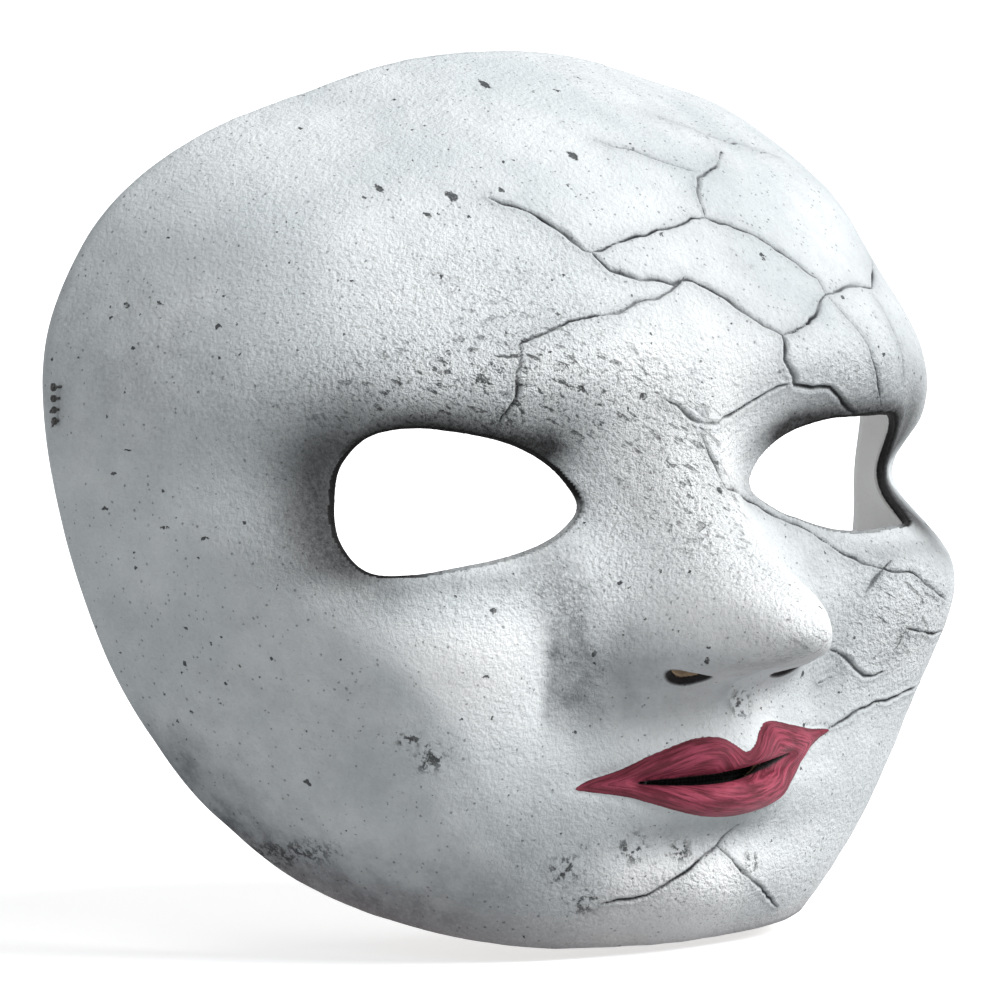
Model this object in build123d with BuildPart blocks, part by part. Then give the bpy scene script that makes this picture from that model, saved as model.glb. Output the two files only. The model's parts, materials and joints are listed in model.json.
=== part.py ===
"""A full-face doll mask: a cast latex shell, the pads and linings inside it, and its elastic strap.

Frame: +X is the wearer's left, +Y is backwards, towards the head, and +Z is up.
The origin lies on the middle plane, level with the inner corners of the eyes,
in the plane of the rim at the temples. The face looks along -Y.
"""
from build123d import *
import math
import os

os.makedirs("parts", exist_ok=True)

# ---- Driving dimensions, in millimetres and degrees ----
WALL = 3.0                 # cast latex
RIM_SETBACK = 80.0         # from the inner eye corners back to the rim at the temples

# The bare dome that the face is built up on
DOME_CENTRE = -150.0       # its centre plane, counted forwards from the inner eye corners
DOME_DEPTH = 159.5         # from that plane to the front
DOME_HALF_WIDTH = 128.7
CROWN_HEIGHT = 111.5
CHIN_REACH = 155.0
CROWN_POWER = 2.5          # how square the crown is, seen from the side
CHIN_POWER = 4.85
TEMPLE_POWER = 2.25         # how square a level section is at the temples
JAW_POWER = 5.0            # and at the jaw
POWER_CHANGE_LOW = -30.0   # heights between which the one changes to the other
POWER_CHANGE_HIGH = 60.0
TAPER_TOP = 45.0           # the sides draw in below this height
TAPER_LENGTH = 212.0
TAPER_POWER = 2.2

# What is built up on the dome or sunk in it: x, z, spread in x, spread in z, height, tilt,
# and the sides that have it. The wearer's left temple is pressed in deeper than the right.
MIDDLE, BOTH, LEFT, RIGHT = (1,), (-1, 1), (1,), (-1,)
FEATURES = {
    "brow": (40.0, 30.0, 38.0, 11.0, 6.0, -6.0, BOTH),
    "brow_end": (84.0, 36.0, 20.0, 15.0, 3.0, 0.0, BOTH),
    "forehead_side": (84.0, 60.0, 22.0, 14.0, 5.8, 0.0, BOTH),
    "crown_side": (50.0, 92.0, 26.0, 14.0, -7.4, 0.0, BOTH),
    "glabella": (0.0, 22.0, 16.0, 14.0, 2.5, 0.0, MIDDLE),
    "temple_hollow": (104.0, 56.0, 18.0, 24.0, -3.0, 0.0, BOTH),
    "inner_socket": (33.0, 1.0, 19.0, 15.0, -11.0, 0.0, BOTH),
    "outer_socket": (80.0, 3.0, 26.0, 15.0, -8.5, 0.0, BOTH),
    "left_eye_corner": (94.0, -6.0, 22.0, 12.0, -21.0, 0.0, LEFT),
    "right_eye_corner": (80.0, 4.0, 26.0, 16.0, -7.5, 0.0, RIGHT),
    "cheek": (60.0, -30.0, 26.0, 17.0, 7.0, 0.0, BOTH),
    "cheekbone": (95.0, -30.0, 20.0, 25.5, 4.6, 0.0, BOTH),
    "nostril_wing": (17.5, -37.0, 8.0, 7.0, 5.0, 0.0, BOTH),
    "nose_base": (0.0, -32.0, 26.0, 18.0, 7.0, 0.0, MIDDLE),
    "nose_tip": (0.0, -25.5, 17.0, 8.5, 11.5, 0.0, MIDDLE),
    "muzzle": (0.0, -62.0, 34.0, 20.0, 15.0, 0.0, MIDDLE),
    "cheek_fold": (36.0, -52.0, 7.0, 20.0, -2.0, -28.0, BOTH),
    "upper_lip": (0.0, -59.0, 20.0, 5.0, 3.5, 0.0, MIDDLE),
    "lower_lip": (0.0, -70.0, 18.0, 5.5, 5.5, 0.0, MIDDLE),
    "mouth_line": (0.0, -64.5, 26.0, 2.4, -2.2, 0.0, MIDDLE),
    "lip_groove": (0.0, -80.5, 20.0, 5.5, -2.5, 0.0, MIDDLE),
    "chin": (0.0, -93.0, 26.0, 13.0, 12.0, 0.0, MIDDLE),
}
NOSE_ROOT_Z = 12.0
NOSE_ROOT_SOFTNESS = 4.0
NOSE_LENGTH = 42.0
NOSE_ROOT_HEIGHT = 4.0
NOSE_RISE = 27.0
NOSE_RISE_POWER = 1.15     # how hollow the bridge is
NOSE_ROOT_HALF_WIDTH = 11.0
NOSE_SPREAD = 8.0
NOSE_SECTION_POWER = 3.0   # how square the ridge is across
NOSE_BOTTOM_Z = -39.2
NOSE_BOTTOM_SOFTNESS = 2.2
NOSE_TOP_Z = 16.0
NOSE_TOP_SOFTNESS = 7.0

# The rim, seen from the side: height, and distance in front of the inner eye corners
RIM = [(-118.0, 40.0), (-107.0, 0.0), (-96.0, -39.0), (-76.0, -64.0), (-55.0, -72.0),
       (-20.0, -76.0), (15.0, -80.0), (60.0, -84.6), (90.0, -76.0), (118.0, -68.0)]

# Openings, as they are in the front view
RIGHT_EYE = [(-25.0, -2.0), (-28.5, 3.5), (-35.0, 8.0), (-45.0, 12.0), (-57.0, 15.0),
             (-67.0, 16.2), (-74.0, 14.5), (-77.5, 9.0), (-79.5, 1.0), (-82.3, -8.0),
             (-80.5, -14.0), (-73.0, -15.0), (-60.0, -13.5), (-47.0, -11.9), (-36.0, -9.8),
             (-28.5, -6.4)]
LEFT_EYE = [(24.4, -1.0), (27.6, 4.0), (32.3, 8.0), (37.5, 10.8), (44.0, 12.5), (51.0, 13.0),
            (58.0, 12.9), (65.0, 12.6), (71.0, 11.4), (75.5, 7.5), (78.5, 0.5), (80.8, -6.0),
            (79.3, -11.4), (73.0, -12.4), (61.0, -12.0), (53.3, -12.3), (46.5, -12.0),
            (41.5, -10.8), (36.3, -8.8), (30.5, -6.0)]
MOUTH_RIGHT = (-20.0, -64.6)
MOUTH_LEFT = (20.0, -64.6)
MOUTH_GAP = 1.6
NOSTRIL_X = 14.5
NOSTRIL_Z = -41.5
NOSTRIL_HALF_WIDTH = 5.0
NOSTRIL_HALF_DEPTH = 4.0
NOSTRIL_LEAN = 25.0        # of its axis, from straight down towards the front
NOSTRIL_OUTSIDE = 5.0      # how far its cut starts outside the wall

# Pads and linings glued inside the shell
GLUE_GAP = 0.3
FOREHEAD_PAD = 8.0
FOREHEAD_PAD_WIDTH = 104.0
FOREHEAD_PAD_HEIGHT = 24.0
FOREHEAD_PAD_Z = 58.0
CHEEK_PAD = 8.0
CHEEK_PAD_LENGTH = 34.0
CHEEK_PAD_HEIGHT = 32.0
CHEEK_PAD_Y = -28.0
CHEEK_PAD_Z = -42.0
CHIN_PAD = 6.0
CHIN_PAD_WIDTH = 44.0
CHIN_PAD_HEIGHT = 16.0
CHIN_PAD_Z = -91.0
PAD_CORNER = 5.0
GAUZE = 0.6
GAUZE_WIDTH = 58.0
GAUZE_HEIGHT = 16.0
GAUZE_CORNER = 4.0
PATCH = 1.2
PATCH_LENGTH = 22.0
PATCH_HEIGHT = 22.0
PATCH_CORNER = 3.0

# The elastic strap and how it is sewn on
BAND = 1.3
BAND_WIDTH = 12.0
BAND_Z = 22.0
PIVOT_PAST_RIM = 2.5       # the strap bends this far behind the rim
STRAP_CLEARANCE = 0.3
SEWN_LENGTH = 14.0
STITCH_INSET = 6.0         # from the rim to the row of stitches
STITCHES = 4
STITCH_PITCH = 2.6
THREAD_RADIUS = 0.6
THREAD_CLEARANCE = 0.15
LEG_RADIUS = 0.5
KNOT_RADIUS = 0.9
LEAD_LENGTH = 9.0          # straight stretch at each end of the loop
LEAD_RADIUS = 12.0
LOOP_REACH = 127.0         # where the loop's two straight sides would meet
LOOP_RADIUS = 62.0         # round the back of the head

# Steps of the spline surfaces
EDGE_FILL = 0.06
SMOOTHING = 3.0
ROW_BANDS = [(-112.0, -20.0, 1.8), (-20.0, 78.0, 2.8), (78.0, 105.0, 1.6)]
COLUMNS = 72
PRISM = 160.0              # longer than anything that is cut with it


# ---- The form of the face ----
def eased(t):
    """A smooth step from 0 to 1."""
    t = min(max(t, 0.0), 1.0)
    return t * t * (3 - 2 * t)


def section_power(z):
    """How square the level section at height z is."""
    t = eased((z - POWER_CHANGE_LOW) / (POWER_CHANGE_HIGH - POWER_CHANGE_LOW))
    return JAW_POWER + (TEMPLE_POWER - JAW_POWER) * t


def half_width(z):
    """Half the width of the dome at height z."""
    return DOME_HALF_WIDTH * (1 - (max(TAPER_TOP - z, 0.0) / TAPER_LENGTH) ** TAPER_POWER)


def height_share(z):
    """What the height takes from the fill of the dome."""
    if z > 0:
        return (z / CROWN_HEIGHT) ** CROWN_POWER
    return (-z / CHIN_REACH) ** CHIN_POWER


def bump(x, z, cx, cz, sx, sz, height, tilt, sides):
    """A soft lump, or a hollow if its height is negative, on each of its sides."""
    c, s = math.cos(math.radians(tilt)), math.sin(math.radians(tilt))
    total = 0.0
    for side in sides:
        dx, dz = side * x - cx, z - cz
        total += height * math.exp(-(((c * dx + s * dz) / sx) ** 2) - ((c * dz - s * dx) / sz) ** 2)
    return total


def nose(x, z):
    """The ridge of the nose, from its root to its underside."""
    below_root = NOSE_ROOT_SOFTNESS * math.log1p(math.exp((NOSE_ROOT_Z - z) / NOSE_ROOT_SOFTNESS))
    t = below_root / NOSE_LENGTH
    height = NOSE_ROOT_HEIGHT + NOSE_RISE * t ** NOSE_RISE_POWER
    across = math.exp(-abs(x / (NOSE_ROOT_HALF_WIDTH + NOSE_SPREAD * t)) ** NOSE_SECTION_POWER)
    below = 1 + math.exp(-(z - NOSE_BOTTOM_Z) / NOSE_BOTTOM_SOFTNESS)
    above = 1 + math.exp((z - NOSE_TOP_Z) / NOSE_TOP_SOFTNESS)
    return height * across / below / above


def forward(x, z):
    """How far the outside of the mask stands in front of the inner eye corners."""
    fill = max(1 - (abs(x) / half_width(z)) ** section_power(z) - height_share(z), 1e-4)
    lumps = sum(bump(x, z, *feature) for feature in FEATURES.values())
    return DOME_CENTRE + DOME_DEPTH * math.sqrt(fill) + lumps + nose(x, z)


def outward(x, z):
    """Unit normal of the outside of the mask, evened out over a small patch."""
    slope_x = (forward(x + SMOOTHING, z) - forward(x - SMOOTHING, z)) / (2 * SMOOTHING)
    slope_z = (forward(x, z + SMOOTHING) - forward(x, z - SMOOTHING)) / (2 * SMOOTHING)
    return Vector(-slope_x, -1, -slope_z).normalized()


def on_form(x, z, depth):
    """The point of the form at x, z, moved in by depth along the normal."""
    point = Vector(x, -forward(x, z) - RIM_SETBACK, z)
    return point - outward(x, z) * depth if depth else point


def edge_x(z):
    """Where the form is steepest, beyond the rim."""
    return half_width(z) * max(1 - height_share(z) - EDGE_FILL, 0.0) ** (1 / section_power(z))


def wall_x(y, z):
    """The x of the outside of the wearer's left side at y, z."""
    low, high = DOME_HALF_WIDTH / 2, edge_x(z)
    for _ in range(40):
        middle = (low + high) / 2
        if forward(middle, z) > -y - RIM_SETBACK:
            low = middle
        else:
            high = middle
    return low


def rim_y(z):
    """The y of the rim at height z."""
    for (z0, f0), (z1, f1) in zip(RIM, RIM[1:]):
        if z0 <= z <= z1:
            return -RIM_SETBACK - f0 - (f1 - f0) * (z - z0) / (z1 - z0)


def skin(depth, z_low=ROW_BANDS[0][0], z_high=ROW_BANDS[-1][1], u_low=-1.0, u_high=1.0):
    """Spline surface at a depth inside the form, between two heights and two shares of its width."""
    heights = [z_low]
    for start, end, step in ROW_BANDS:
        count = round((end - start) / step)
        heights += [start + (end - start) * i / count for i in range(1, count)]
    heights = [z for z in heights if z_low <= z <= z_high - 1] + [z_high]
    columns = max(round(COLUMNS * (u_high - u_low) / 2), 8)
    shares = [u_low + (u_high - u_low) * i / columns for i in range(columns + 1)]
    grid = [[on_form(u * edge_x(z), z, depth) for u in shares] for z in heights]
    return Face.make_surface_from_array_of_points(grid, tol=0.05, min_deg=3, max_deg=5)


# ---- The latex shell ----
lining_depth = WALL + GLUE_GAP
pivot_y = rim_y(BAND_Z) + PIVOT_PAST_RIM
sewn_end_y = pivot_y - BAND_WIDTH / 2 - STRAP_CLEARANCE
stitch_y = rim_y(BAND_Z) - STITCH_INSET
stitch_heights = [BAND_Z + (i - (STITCHES - 1) / 2) * STITCH_PITCH for i in range(STITCHES)]
hole_radius = THREAD_RADIUS + THREAD_CLEARANCE

with BuildPart() as face_shell:
    extrude(to_extrude=skin(0.0), amount=PRISM, dir=(0, 1, 0))
    extrude(to_extrude=skin(WALL), amount=PRISM + 2 * WALL, dir=(0, 1, 0), mode=Mode.SUBTRACT)
    with BuildSketch(Plane.YZ):
        with BuildLine():
            rim_line = Spline([(-RIM_SETBACK - front, z) for z, front in RIM])
            Polyline(rim_line @ 1, (-PRISM, RIM[-1][0]), (-PRISM, RIM[0][0]), rim_line @ 0)
        make_face()
    extrude(amount=PRISM, both=True, mode=Mode.INTERSECT)
    with BuildSketch(Plane.XZ):
        with BuildLine():
            Spline(RIGHT_EYE, periodic=True)
        make_face()
        with BuildLine():
            Spline(LEFT_EYE, periodic=True)
        make_face()
    extrude(amount=PRISM, mode=Mode.SUBTRACT)
    with BuildSketch(Plane.XZ):
        with BuildLine():
            SagittaArc(MOUTH_RIGHT, MOUTH_LEFT, MOUTH_GAP / 2)
            SagittaArc(MOUTH_RIGHT, MOUTH_LEFT, -MOUTH_GAP / 2)
        make_face()
    extrude(amount=PRISM, mode=Mode.SUBTRACT)
    for side in (-1, 1):
        lean = math.radians(NOSTRIL_LEAN)
        inward = Vector(0, math.sin(lean), math.cos(lean))
        mouth_of_nostril = on_form(side * NOSTRIL_X, NOSTRIL_Z, 0.0) - inward * NOSTRIL_OUTSIDE
        with BuildSketch(Plane(origin=mouth_of_nostril, x_dir=(1, 0, 0), z_dir=inward)):
            Ellipse(NOSTRIL_HALF_WIDTH, NOSTRIL_HALF_DEPTH)
        extrude(amount=NOSTRIL_OUTSIDE + 2.5 * WALL, mode=Mode.SUBTRACT)
    with BuildSketch(Plane.YZ):
        with Locations(*[(stitch_y, z) for z in stitch_heights]):
            Circle(hole_radius)
    extrude(amount=PRISM, both=True, mode=Mode.SUBTRACT)
face_shell.part.label = "face_shell"
export_step(face_shell.part, "parts/face_shell.step")


# ---- Foam pads that hold the shell off the wearer's face ----
def share(x, z):
    """x as a share of the form's width at height z, with a little room."""
    return min(x / edge_x(z) + 0.03, 1.0)


with BuildPart() as forehead_pad:
    low, high = FOREHEAD_PAD_Z - FOREHEAD_PAD_HEIGHT / 2, FOREHEAD_PAD_Z + FOREHEAD_PAD_HEIGHT / 2
    reach = share(FOREHEAD_PAD_WIDTH / 2, high)
    extrude(to_extrude=skin(lining_depth, low - 4, high + 8, -reach, reach), amount=FOREHEAD_PAD, dir=(0, 1, 0))
    with BuildSketch(Plane.XZ):
        with Locations((0, FOREHEAD_PAD_Z)):
            RectangleRounded(FOREHEAD_PAD_WIDTH, FOREHEAD_PAD_HEIGHT, PAD_CORNER)
    extrude(amount=PRISM, mode=Mode.INTERSECT)
forehead_pad.part.label = "forehead_pad"
export_step(forehead_pad.part, "parts/forehead_pad.step")

with BuildPart() as chin_pad:
    low, high = CHIN_PAD_Z - CHIN_PAD_HEIGHT / 2, CHIN_PAD_Z + CHIN_PAD_HEIGHT / 2
    reach = share(CHIN_PAD_WIDTH / 2, low)
    extrude(to_extrude=skin(lining_depth, low - 8, high + 4, -reach, reach), amount=CHIN_PAD, dir=(0, 1, 0))
    with BuildSketch(Plane.XZ):
        with Locations((0, CHIN_PAD_Z)):
            RectangleRounded(CHIN_PAD_WIDTH, CHIN_PAD_HEIGHT, PAD_CORNER)
    extrude(amount=PRISM, mode=Mode.INTERSECT)
chin_pad.part.label = "chin_pad"
export_step(chin_pad.part, "parts/chin_pad.step")

with BuildPart() as cheek_pad_left:
    low, high = CHEEK_PAD_Z - CHEEK_PAD_HEIGHT / 2, CHEEK_PAD_Z + CHEEK_PAD_HEIGHT / 2
    front_x = wall_x(CHEEK_PAD_Y - CHEEK_PAD_LENGTH / 2, low)
    reach = front_x / edge_x(low) - 0.15
    extrude(to_extrude=skin(lining_depth, low - 4, high + 4, reach, 1.0), amount=CHEEK_PAD, dir=(-1, 0, 0))
    with BuildSketch(Plane.YZ):
        with Locations((CHEEK_PAD_Y, CHEEK_PAD_Z)):
            RectangleRounded(CHEEK_PAD_LENGTH, CHEEK_PAD_HEIGHT, PAD_CORNER)
    extrude(amount=PRISM, mode=Mode.INTERSECT)
cheek_pad_left.part.label = "cheek_pad_left"
export_step(cheek_pad_left.part, "parts/cheek_pad_left.step")

with BuildPart() as cheek_pad_right:
    mirror(cheek_pad_left.part, about=Plane.YZ)
cheek_pad_right.part.label = "cheek_pad_right"
export_step(cheek_pad_right.part, "parts/cheek_pad_right.step")


# ---- Black gauze glued behind the mouth ----
mouth_z = (MOUTH_RIGHT[1] + MOUTH_LEFT[1]) / 2


def lining_y(x, z):
    """The y at x, z of the surface that the linings are glued to."""
    source_x, source_z = x, z
    for _ in range(12):
        point = on_form(source_x, source_z, lining_depth)
        source_x += x - point.X
        source_z += z - point.Z
    return point.Y


def behind_lips(x):
    """The y just behind the shell at x, over the height of the gauze."""
    return max(lining_y(x, mouth_z + GAUZE_HEIGHT * (i / 16 - 0.5)) for i in range(17))


with BuildPart() as mouth_gauze:
    route = [(GAUZE_WIDTH * (i / 8 - 0.5), behind_lips(GAUZE_WIDTH * (i / 8 - 0.5))) for i in range(9)]
    with BuildSketch(Plane.XY.offset(mouth_z - GAUZE_HEIGHT / 2)):
        with BuildLine():
            front = Spline(route)
            back = Spline([(x, y + GAUZE) for x, y in route])
            Line(front @ 0, back @ 0)
            Line(front @ 1, back @ 1)
        make_face()
    extrude(amount=GAUZE_HEIGHT)
    with BuildSketch(Plane.XZ):
        with Locations((0, mouth_z)):
            RectangleRounded(GAUZE_WIDTH, GAUZE_HEIGHT, GAUZE_CORNER)
    extrude(amount=PRISM, mode=Mode.INTERSECT)
mouth_gauze.part.label = "mouth_gauze"
export_step(mouth_gauze.part, "parts/mouth_gauze.step")


# ---- Temple patches, the strap's sewn ends and their stitches ----
def temple_skin():
    """The inside of the wearer's left temple, with room round the patch."""
    low, high = BAND_Z - PATCH_HEIGHT / 2 - 4, BAND_Z + PATCH_HEIGHT / 2 + 4
    front_x = wall_x(sewn_end_y - PATCH_LENGTH, BAND_Z)
    return skin(lining_depth, low, high, front_x / edge_x(BAND_Z) - 0.1, 1.0)


with BuildPart() as temple_patch_left:
    extrude(to_extrude=temple_skin(), amount=PATCH, dir=(-1, 0, 0))
    with BuildSketch(Plane.YZ):
        with Locations((sewn_end_y - PATCH_LENGTH / 2, BAND_Z)):
            RectangleRounded(PATCH_LENGTH, PATCH_HEIGHT, PATCH_CORNER)
        with Locations(*[(stitch_y, z) for z in stitch_heights]):
            Circle(hole_radius, mode=Mode.SUBTRACT)
    extrude(amount=PRISM, mode=Mode.INTERSECT)
temple_patch_left.part.label = "temple_patch_left"
export_step(temple_patch_left.part, "parts/temple_patch_left.step")

with BuildPart() as temple_patch_right:
    mirror(temple_patch_left.part, about=Plane.YZ)
temple_patch_right.part.label = "temple_patch_right"
export_step(temple_patch_right.part, "parts/temple_patch_right.step")

sewn_skin = Pos(-PATCH - GLUE_GAP, 0, 0) * temple_skin()

with BuildPart() as strap_end_left:
    extrude(to_extrude=sewn_skin, amount=BAND, dir=(-1, 0, 0))
    with BuildSketch(Plane.YZ):
        with Locations((sewn_end_y - SEWN_LENGTH / 2, BAND_Z)):
            Rectangle(SEWN_LENGTH, BAND_WIDTH)
        with Locations(*[(stitch_y, z) for z in stitch_heights]):
            Circle(hole_radius, mode=Mode.SUBTRACT)
    extrude(amount=PRISM, mode=Mode.INTERSECT)
strap_end_left.part.label = "strap_end_left"
export_step(strap_end_left.part, "parts/strap_end_left.step")

with BuildPart() as strap_end_right:
    mirror(strap_end_left.part, about=Plane.YZ)
strap_end_right.part.label = "strap_end_right"
export_step(strap_end_right.part, "parts/strap_end_right.step")

stitch_faces = strap_end_left.part.faces().filter_by(GeomType.CYLINDER)
bar_x = stitch_faces.vertices().sort_by(Axis.X)[0].X - GLUE_GAP - THREAD_RADIUS
knot_x = max(wall_x(stitch_y, z) for z in stitch_heights) + THREAD_CLEARANCE + KNOT_RADIUS

with BuildPart() as anchor_stitches_left:
    with BuildSketch(Plane.YZ.offset(bar_x)):
        with Locations(*[(stitch_y, z) for z in stitch_heights]):
            Circle(LEG_RADIUS)
    extrude(amount=knot_x - bar_x)
    with Locations(*[(knot_x, stitch_y, z) for z in stitch_heights]):
        Sphere(KNOT_RADIUS)
    with BuildSketch(Plane.XY.offset(stitch_heights[0])):
        with Locations((bar_x, stitch_y)):
            Circle(THREAD_RADIUS)
    extrude(amount=stitch_heights[-1] - stitch_heights[0])
    with Locations((bar_x, stitch_y, stitch_heights[0]), (bar_x, stitch_y, stitch_heights[-1])):
        Sphere(THREAD_RADIUS)
anchor_stitches_left.part.label = "anchor_stitches_left"
export_step(anchor_stitches_left.part, "parts/anchor_stitches_left.step")

with BuildPart() as anchor_stitches_right:
    mirror(anchor_stitches_left.part, about=Plane.YZ)
anchor_stitches_right.part.label = "anchor_stitches_right"
export_step(anchor_stitches_right.part, "parts/anchor_stitches_right.step")


# ---- The elastic strap, bowed as it goes round the back of the head ----
sewn_rear = strap_end_left.part.vertices().group_by(Axis.Y)[-1].sort_by(Axis.X)
band_x = (sewn_rear[0].X + sewn_rear[-1].X) / 2
start_y = pivot_y - BAND_WIDTH / 2

with BuildPart() as strap_band:
    with BuildLine(Plane.XY.offset(BAND_Z)) as band_path:
        FilletPolyline((band_x, start_y), (band_x, start_y + LEAD_LENGTH), (0, LOOP_REACH),
                       (-band_x, start_y + LEAD_LENGTH), (-band_x, start_y),
                       radius=[LEAD_RADIUS, LOOP_RADIUS, LEAD_RADIUS])
    with BuildSketch(Plane(origin=(band_x, start_y, BAND_Z), x_dir=(1, 0, 0), z_dir=(0, 1, 0))):
        Rectangle(BAND, BAND_WIDTH)
    sweep(path=band_path.wires()[0])
    end_corners = strap_band.edges().filter_by(Axis.X).group_by(Axis.Y)[0]
    fillet(end_corners, radius=BAND_WIDTH / 2 - 0.05)
strap_band.part.label = "strap_band"
export_step(strap_band.part, "parts/strap_band.step")
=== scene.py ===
import bpy
import bmesh
import json
import math
import numpy as np
from mathutils import Matrix, Vector, noise
from mathutils.bvhtree import BVHTree
from mathutils.kdtree import KDTree


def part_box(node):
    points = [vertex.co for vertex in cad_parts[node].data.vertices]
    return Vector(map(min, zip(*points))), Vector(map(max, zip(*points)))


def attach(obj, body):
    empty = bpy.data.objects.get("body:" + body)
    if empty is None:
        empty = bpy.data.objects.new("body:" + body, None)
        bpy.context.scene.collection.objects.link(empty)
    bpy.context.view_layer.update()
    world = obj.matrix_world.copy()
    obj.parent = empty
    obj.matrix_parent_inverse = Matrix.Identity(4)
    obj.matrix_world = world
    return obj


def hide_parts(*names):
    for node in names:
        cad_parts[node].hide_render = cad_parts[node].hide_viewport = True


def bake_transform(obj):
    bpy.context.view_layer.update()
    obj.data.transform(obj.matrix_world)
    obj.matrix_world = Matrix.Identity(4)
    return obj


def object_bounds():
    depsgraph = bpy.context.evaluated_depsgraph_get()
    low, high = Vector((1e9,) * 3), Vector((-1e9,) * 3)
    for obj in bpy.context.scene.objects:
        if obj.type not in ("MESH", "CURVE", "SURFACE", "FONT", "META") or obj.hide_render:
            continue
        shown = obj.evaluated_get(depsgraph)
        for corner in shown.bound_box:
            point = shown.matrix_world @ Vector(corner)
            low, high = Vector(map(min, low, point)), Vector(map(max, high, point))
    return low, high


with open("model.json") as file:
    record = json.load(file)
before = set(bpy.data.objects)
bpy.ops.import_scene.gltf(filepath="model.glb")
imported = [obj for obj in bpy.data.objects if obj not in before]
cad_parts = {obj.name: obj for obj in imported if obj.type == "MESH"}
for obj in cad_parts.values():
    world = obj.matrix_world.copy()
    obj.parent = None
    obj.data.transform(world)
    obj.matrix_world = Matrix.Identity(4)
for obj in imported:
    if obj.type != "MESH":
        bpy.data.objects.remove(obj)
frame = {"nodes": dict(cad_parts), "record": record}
cad_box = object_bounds()
bpy.ops.object.select_all(action="DESELECT")

# ---- The studio ----
# A pale matt floor under the chin of the mask, one large soft light in front of it,
# high and to its left, and a long lens a little above eye level. The sky lights the
# mask at SKY_LIGHT and is plain white where the camera sees it.
FLOOR_DROP, FLOOR_GLOW, SKY_LIGHT = 0.001, 0.48, 0.55
LIGHT_FROM, LIGHT_STRENGTH, LIGHT_SPREAD = (0.46, -0.66, 0.59), 3.72, math.radians(34)
YAW, RISE, ROLL = math.radians(34), math.radians(4.5), math.radians(-1.1)
CAMERA_DISTANCE, CAMERA_RIGHT, CAMERA_UP, CAMERA_LENS = 1.8, -0.0382, -0.0031, 281.2
bpy.ops.mesh.primitive_plane_add(size=60, location=(0, 0, cad_box[0][2] - FLOOR_DROP))
floor = bpy.context.object
floor.name = "studio_floor"
floor_paint = bpy.data.materials.new("studio_floor")
floor_paint.use_nodes = True
floor_shader = floor_paint.node_tree.nodes["Principled BSDF"]
floor_shader.inputs["Base Color"].default_value = (0.93, 0.93, 0.935, 1)
floor_shader.inputs["Emission Color"].default_value = (1, 1, 1, 1)
floor_shader.inputs["Emission Strength"].default_value = FLOOR_GLOW
floor_shader.inputs["Roughness"].default_value = 0.9
floor_shader.inputs["Specular IOR Level"].default_value = 0.1
floor.data.materials.append(floor_paint)
floor.visible_diffuse = False

world = bpy.data.worlds.new("studio")
world.use_nodes = True
sky_tree = world.node_tree
sky_shader = sky_tree.nodes["Background"]
sky_shader.inputs["Color"].default_value = (0.97, 0.985, 1, 1)
sky = sky_tree.nodes.new("ShaderNodeMath")
sky.operation = "MULTIPLY_ADD"
sky.inputs[1].default_value, sky.inputs[2].default_value = 1 - SKY_LIGHT, SKY_LIGHT
sky_tree.links.new(sky_tree.nodes.new("ShaderNodeLightPath").outputs["Is Camera Ray"], sky.inputs[0])
sky_tree.links.new(sky.outputs[0], sky_shader.inputs["Strength"])
bpy.context.scene.world = world
bpy.context.scene.view_settings.view_transform = "Standard"

bpy.ops.object.light_add(type="SUN", location=LIGHT_FROM)
light = bpy.context.object
light.name = "main_light"
light.data.energy = LIGHT_STRENGTH
light.data.angle = LIGHT_SPREAD
light.rotation_euler = Vector(LIGHT_FROM).to_track_quat("Z", "Y").to_euler()

level_right = Vector((math.cos(YAW), -math.sin(YAW), 0))
level_up = Vector((math.sin(YAW) * math.sin(RISE), math.cos(YAW) * math.sin(RISE), math.cos(RISE)))
backwards = level_right.cross(level_up)
right = math.cos(ROLL) * level_right + math.sin(ROLL) * level_up
up = math.cos(ROLL) * level_up - math.sin(ROLL) * level_right
aim = Vector((0, -0.08, 0)) + CAMERA_RIGHT * right + CAMERA_UP * up
bpy.ops.object.camera_add(location=aim + CAMERA_DISTANCE * backwards)
camera = bpy.context.object
camera.name = "camera"
camera.data.lens = CAMERA_LENS
camera.data.sensor_width = 36
camera.data.clip_end = 100
camera.rotation_euler = Matrix((right, up, backwards)).transposed().to_euler()
bpy.context.scene.camera = camera


def select_only(piece):
    """Makes a piece the one that the next operators act on."""
    bpy.ops.object.select_all(action="DESELECT")
    piece.select_set(True)
    bpy.context.view_layer.objects.active = piece


def uneven(place, size_mm, height):
    """A wandering height at a place, with waves of a size."""
    return noise.noise(place * 1000 / size_mm) * height


def new_piece(name, mesh):
    """A piece in the scene, made from a mesh."""
    piece = bpy.data.objects.new(name, mesh)
    bpy.context.collection.objects.link(piece)
    return piece


def modify(piece, kind, **settings):
    """Puts a modifier on the selected piece and applies it."""
    modifier = piece.modifiers.new(kind.lower(), kind)
    for name, value in settings.items():
        setattr(modifier, name, value)
    bpy.ops.object.modifier_apply(modifier=modifier.name)


def edit_faces(piece, wanted):
    """Opens a piece in edit mode, with only the faces selected that the test picks."""
    bpy.ops.object.mode_set(mode="EDIT")
    bpy.ops.mesh.select_mode(type="FACE")
    bpy.ops.mesh.select_all(action="DESELECT")
    bpy.ops.object.mode_set(mode="OBJECT")
    for face in piece.data.polygons:
        face.select = wanted(face)
    bpy.ops.object.mode_set(mode="EDIT")


def face_outwards(piece, join=0.0):
    """Turns the faces of a closed piece outwards, after joining points closer than a distance."""
    select_only(piece)
    bpy.ops.object.mode_set(mode="EDIT")
    bpy.ops.mesh.select_all(action="SELECT")
    if join:
        bpy.ops.mesh.remove_doubles(threshold=join)
    bpy.ops.mesh.normals_make_consistent(inside=False)
    bpy.ops.object.mode_set(mode="OBJECT")


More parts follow.
